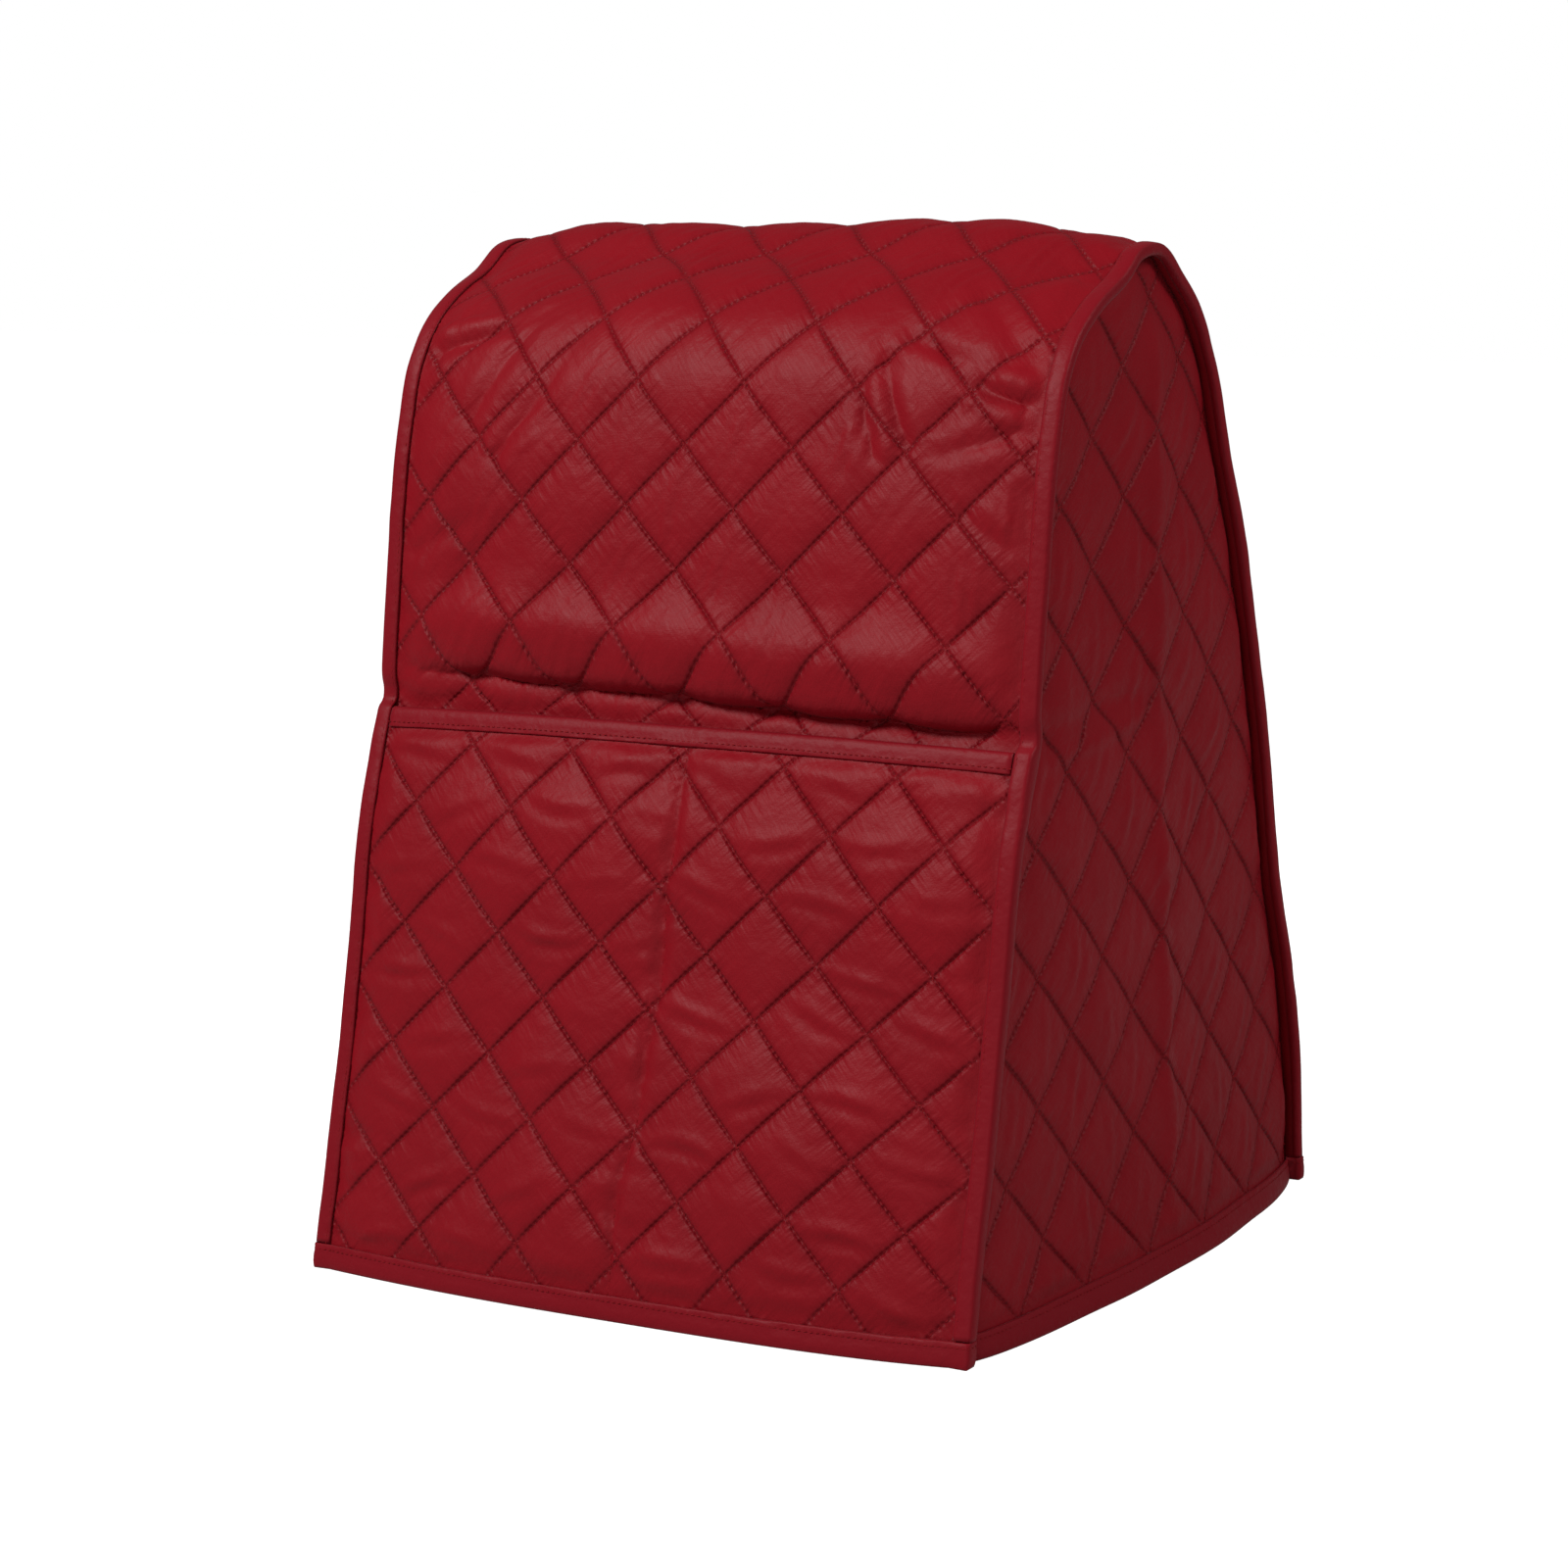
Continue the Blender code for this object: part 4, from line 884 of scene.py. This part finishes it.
def bound_edge(name, rings, closed=False):
    """A binding from its cross-sections."""
    points, faces = strip(rings, closed)
    mesh = bpy.data.meshes.new(name)
    mesh.from_pydata(points.tolist(), [], faces)
    form = bmesh.new()
    form.from_mesh(mesh)
    bmesh.ops.remove_doubles(form, verts=form.verts[:], dist=1e-7)
    bmesh.ops.recalc_face_normals(form, faces=form.faces[:])
    form.to_mesh(mesh)
    form.free()
    mesh.shade_smooth()
    mesh.materials.append(wine_tape)
    made = bpy.data.objects.new(name, mesh)
    bpy.context.collection.objects.link(made)
    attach(made, "root")
    return made


hem_top = max(seam_point(START + HEM_BINDING)[1], seam_point(END - HEM_BINDING)[1])
binding_s = spaced(START + HEM_BINDING, END - HEM_BINDING, 0.0022)
over_pocket = pocket_lift(np.array(SEAM_LINE), binding_s) * (1.0 - ease((binding_s - POCKET_TOP) / 0.006))
front_in = CLOTH / 2 + over_pocket + GAP
back_in = SIDE_INSET + CLOTH / 2 + GAP
for side, label in ((1, "right"), (-1, "left")):
    wander = 0.0006 * drift(binding_s / 0.045, side + 3.5, 61)
    wander = wander + 0.0003 * drift(binding_s / 0.012, side + 3.5, 62)
    pucker = 0.00030 * drift(binding_s / 0.0042, side + 7.5, 63)
    middle_out, half_in = (front_in - back_in) / 2, (front_in + back_in) / 2
    turn_from = FLANGE_EDGE - 0.0012
    leaf = SEAM_BINDING_FROM + wander
    rows = [(leaf, front_in), (leaf - 0.0002, front_in + 0.6 * TAPE)]
    for across in (0.0006, 0.0020, 0.0035, 0.0050):
        swell = pucker * bell((across - 0.0020) / 0.0025) + 0.0003 * math.sin(across / 0.0062 * math.pi)
        rows.append((leaf + across, front_in + TAPE + swell))
    for angle in np.linspace(math.pi / 2, -math.pi / 2, 9):
        reach = (FLANGE_EDGE + GAP + TAPE - turn_from + wander) * math.cos(angle) ** 0.8
        rounded = math.copysign(abs(math.sin(angle)) ** 0.8, math.sin(angle))
        rows.append((turn_from + reach, middle_out + (half_in + TAPE) * rounded))
    rows += [(BACK_LEAF_FROM, -back_in - TAPE), (BACK_LEAF_FROM - 0.0001, -back_in - TAPE / 2),
             (BACK_LEAF_FROM, -back_in), (FLANGE_EDGE + GAP, -back_in), (FLANGE_EDGE + GAP, front_in)]
    rings = []
    for across, out in rows:
        line = along_seam(np.broadcast_to(out, binding_s.shape), binding_s)
        line[:, 1] = np.maximum(line[:, 1], hem_top + GAP)
        rings.append(np.column_stack([side * np.broadcast_to(across, binding_s.shape), line]))
    binding = bound_edge(f"seam_binding_{label}_tape", np.stack(rings, axis=1))
    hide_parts(f"seam_binding_{label}")
    stitched = along_seam(front_in + TAPE + 0.0001, binding_s)
    sew(f"seam_binding_{label}_stitches",
        [np.column_stack([side * (SEAM_BINDING_FROM + 0.0016 + wander), stitched])], *BINDING_STITCH)

# The hem binding
# One folded strip of the same polyester round the whole lower edge. It wraps the ends of the
# side seams as well, and the cover stands on it.
SLACK = 0.0005
HEM_BY = CLOTH / 2 + SLACK + GAP
FLANGE_BY = HEM_BY + SIDE_INSET
CORNER_SOFT = 0.0022        # radius of the tape's turns round a seam's end
CORNER_CLEAR = 0.0048       # where a side's run starts beside its corner
SIDE_STEPS = 140


def hem_run(middles, front_by):
    """Plan points of the tape's four faces beside a run of cloth, from its outermost inwards."""
    run = np.gradient(middles, axis=0)
    run /= np.linalg.norm(run, axis=1)[:, None]
    out = np.stack([run[:, 1], -run[:, 0]], axis=1)
    faces = (front_by + TAPE, front_by, -HEM_BY, -HEM_BY - TAPE)
    return np.stack([middles + out * by for by in faces], axis=1)


def hem_level(level):
    """Plan points the whole way round at the cut edge, level 0, or at the tape's own, level 1."""
    height = HEM_LIFT + level * (hem_top - HEM_LIFT)
    found = []
    for side, end in ((1, 0), (-1, 1)):
        s = (START, END)[end] + level * HEM_BINDING * (1, -1)[end]
        by_pocket = HEM_BY + CLOTH + GAP
        front_by = (by_pocket, HEM_BY)[end]
        u = side * spaced(-SEAM_LINE, SEAM_LINE, OUTLINE_PITCH)
        found += list(hem_run(main_middle(u, np.full_like(u, s))[:, :2], front_by)[1:-1])
        for corner_end, corner_by in ((end, front_by), (1 - end, (HEM_BY, by_pocket)[end])):
            outward = (-1, 1)[corner_end]
            corner_s = (START, END)[corner_end] + level * HEM_BINDING * (1, -1)[corner_end]
            seam_y = seam_point(corner_s)[0]
            outer, tip = corner_by + TAPE, FLANGE_EDGE + GAP + TAPE
            deep, close = -FLANGE_BY - TAPE, SEAM_LINE + HEM_BY + TAPE
            turn = np.linspace(0.0, math.pi / 2, 5)
            corner = [((SEAM_LINE, outer), (SEAM_LINE, outer - TAPE))]
            eased = [(CORNER_SOFT * (1 - math.sin(a)), CORNER_SOFT * (1 - math.cos(a))) for a in turn]
            corner += [((tip - a, outer - b), (tip - TAPE, outer - TAPE)) for a, b in eased]
            corner += [((tip - b, deep + a), (tip - TAPE, deep + TAPE)) for a, b in eased]
            corner.append(((close, deep), (close - TAPE, deep + TAPE)))
            inner = -HEM_BY - 0.0012
            inside = [(SEAM_LINE - HEM_BY, inner), (SEAM_LINE - HEM_BY - TAPE, inner - TAPE)]
            laid = [np.array([(side * x, seam_y + outward * d) for x, d in (*pair, *inside)])
                    for pair in corner]
            if corner_end == end:
                found += laid
                y0 = seam_y - outward * CORNER_CLEAR
                other = 1 - end
                other_s = (START, END)[other] + level * HEM_BINDING * (1, -1)[other]
                y1 = seam_point(other_s)[0] + outward * CORNER_CLEAR
                y = np.linspace(y0, y1, SIDE_STEPS)
                sides = side_middle(y, np.full_like(y, height), side)[:, :2]
                found += list(hem_run(sides, HEM_BY)[1:-1])
            else:
                found += laid[::-1]
    return np.array(found)


low, high = hem_level(0), hem_level(1)
run_length = np.concatenate([[0.0], np.cumsum(np.linalg.norm(np.diff(low[:, 0], axis=0), axis=1))])
swell = 0.00035 * drift(run_length / 0.0050, 0.5, 91) + 0.0003 * drift(run_length / 0.03, 0.5, 92)


def hem_at(face, share):
    """Points of one face of the tape at a share of its height."""
    plan = low[:, face] + (high[:, face] - low[:, face]) * share
    return np.column_stack([plan, np.full(len(plan), share * hem_top)])


def pushed(face, share, by):
    points = hem_at(face, share)
    out = low[:, 0] - low[:, 1]
    points[:, :2] += out / np.linalg.norm(out, axis=1)[:, None] * np.broadcast_to(by, len(points))[:, None]
    return points


hem_rows = [hem_at(1, 1.0), pushed(0, 1.0, -0.0004), pushed(0, 0.96, swell),
            pushed(0, 0.80, -0.0002 + swell), pushed(0, 0.55, 0.0003), pushed(0, 0.30, 0.0003),
            pushed(0, 0.12, 0.0), pushed(0, 0.03, -0.0005), pushed(0, 0.0, -0.0014), hem_at(3, 0.0),
            hem_at(3, 1.0), hem_at(2, 1.0), hem_at(2, 0.10), hem_at(1, 0.10)]
hem = bound_edge("hem_binding_tape", np.stack(hem_rows, axis=1), closed=True)
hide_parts("hem_binding")
sew("hem_binding_stitches", [pushed(0, 0.80, 0.0001)], *BINDING_STITCH)

# The pocket's binding
# The same folded strip over the pocket's upper edge, its ends caught under the seam bindings.
# A row of stitches near its lower edge goes through the strip and the pocket.
mouth_u = spaced(-SEAM_LINE + GAP, SEAM_LINE - GAP, OUTLINE_PITCH)
edge = pocket_middle(mouth_u, np.full_like(mouth_u, POCKET_TOP))
press = pocket_middle(mouth_u, np.full_like(mouth_u, POCKET_TOP - POCKET_BINDING))
up = (edge - press) / np.linalg.norm(edge - press, axis=1)[:, None]
out = np.cross(np.gradient(edge, axis=0), up)
out /= np.linalg.norm(out, axis=1)[:, None]
near, far = CLOTH / 2 + GAP, CLOTH / 2 + GAP + TAPE
swell = 0.00035 * drift(mouth_u / 0.0048, 0.5, 95) + 0.0003 * drift(mouth_u / 0.03, 0.5, 96)


def mouth_at(share, by):
    return press + (edge - press) * share + out * np.broadcast_to(by, len(mouth_u))[:, None]


top = edge + up * (GAP + TAPE)
mouth_rows = [mouth_at(0.0, near), mouth_at(-0.03, far - 0.0004), mouth_at(0.04, far + swell),
              mouth_at(0.25, far - 0.0002 + swell), mouth_at(0.5, far + 0.0003), mouth_at(0.8, far + 0.0002),
              mouth_at(1.0, far), top + out * 0.0010, top - out * 0.0010, mouth_at(1.0, -far),
              mouth_at(0.0, -far), mouth_at(0.0, -near), edge + up * GAP - out * near,
              edge + up * GAP + out * near]
mouth = bound_edge("pocket_binding_tape", np.stack(mouth_rows, axis=1))
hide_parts("pocket_binding")
sew("pocket_binding_stitches", [mouth_at(0.25, far + 0.0001)], *BINDING_STITCH)
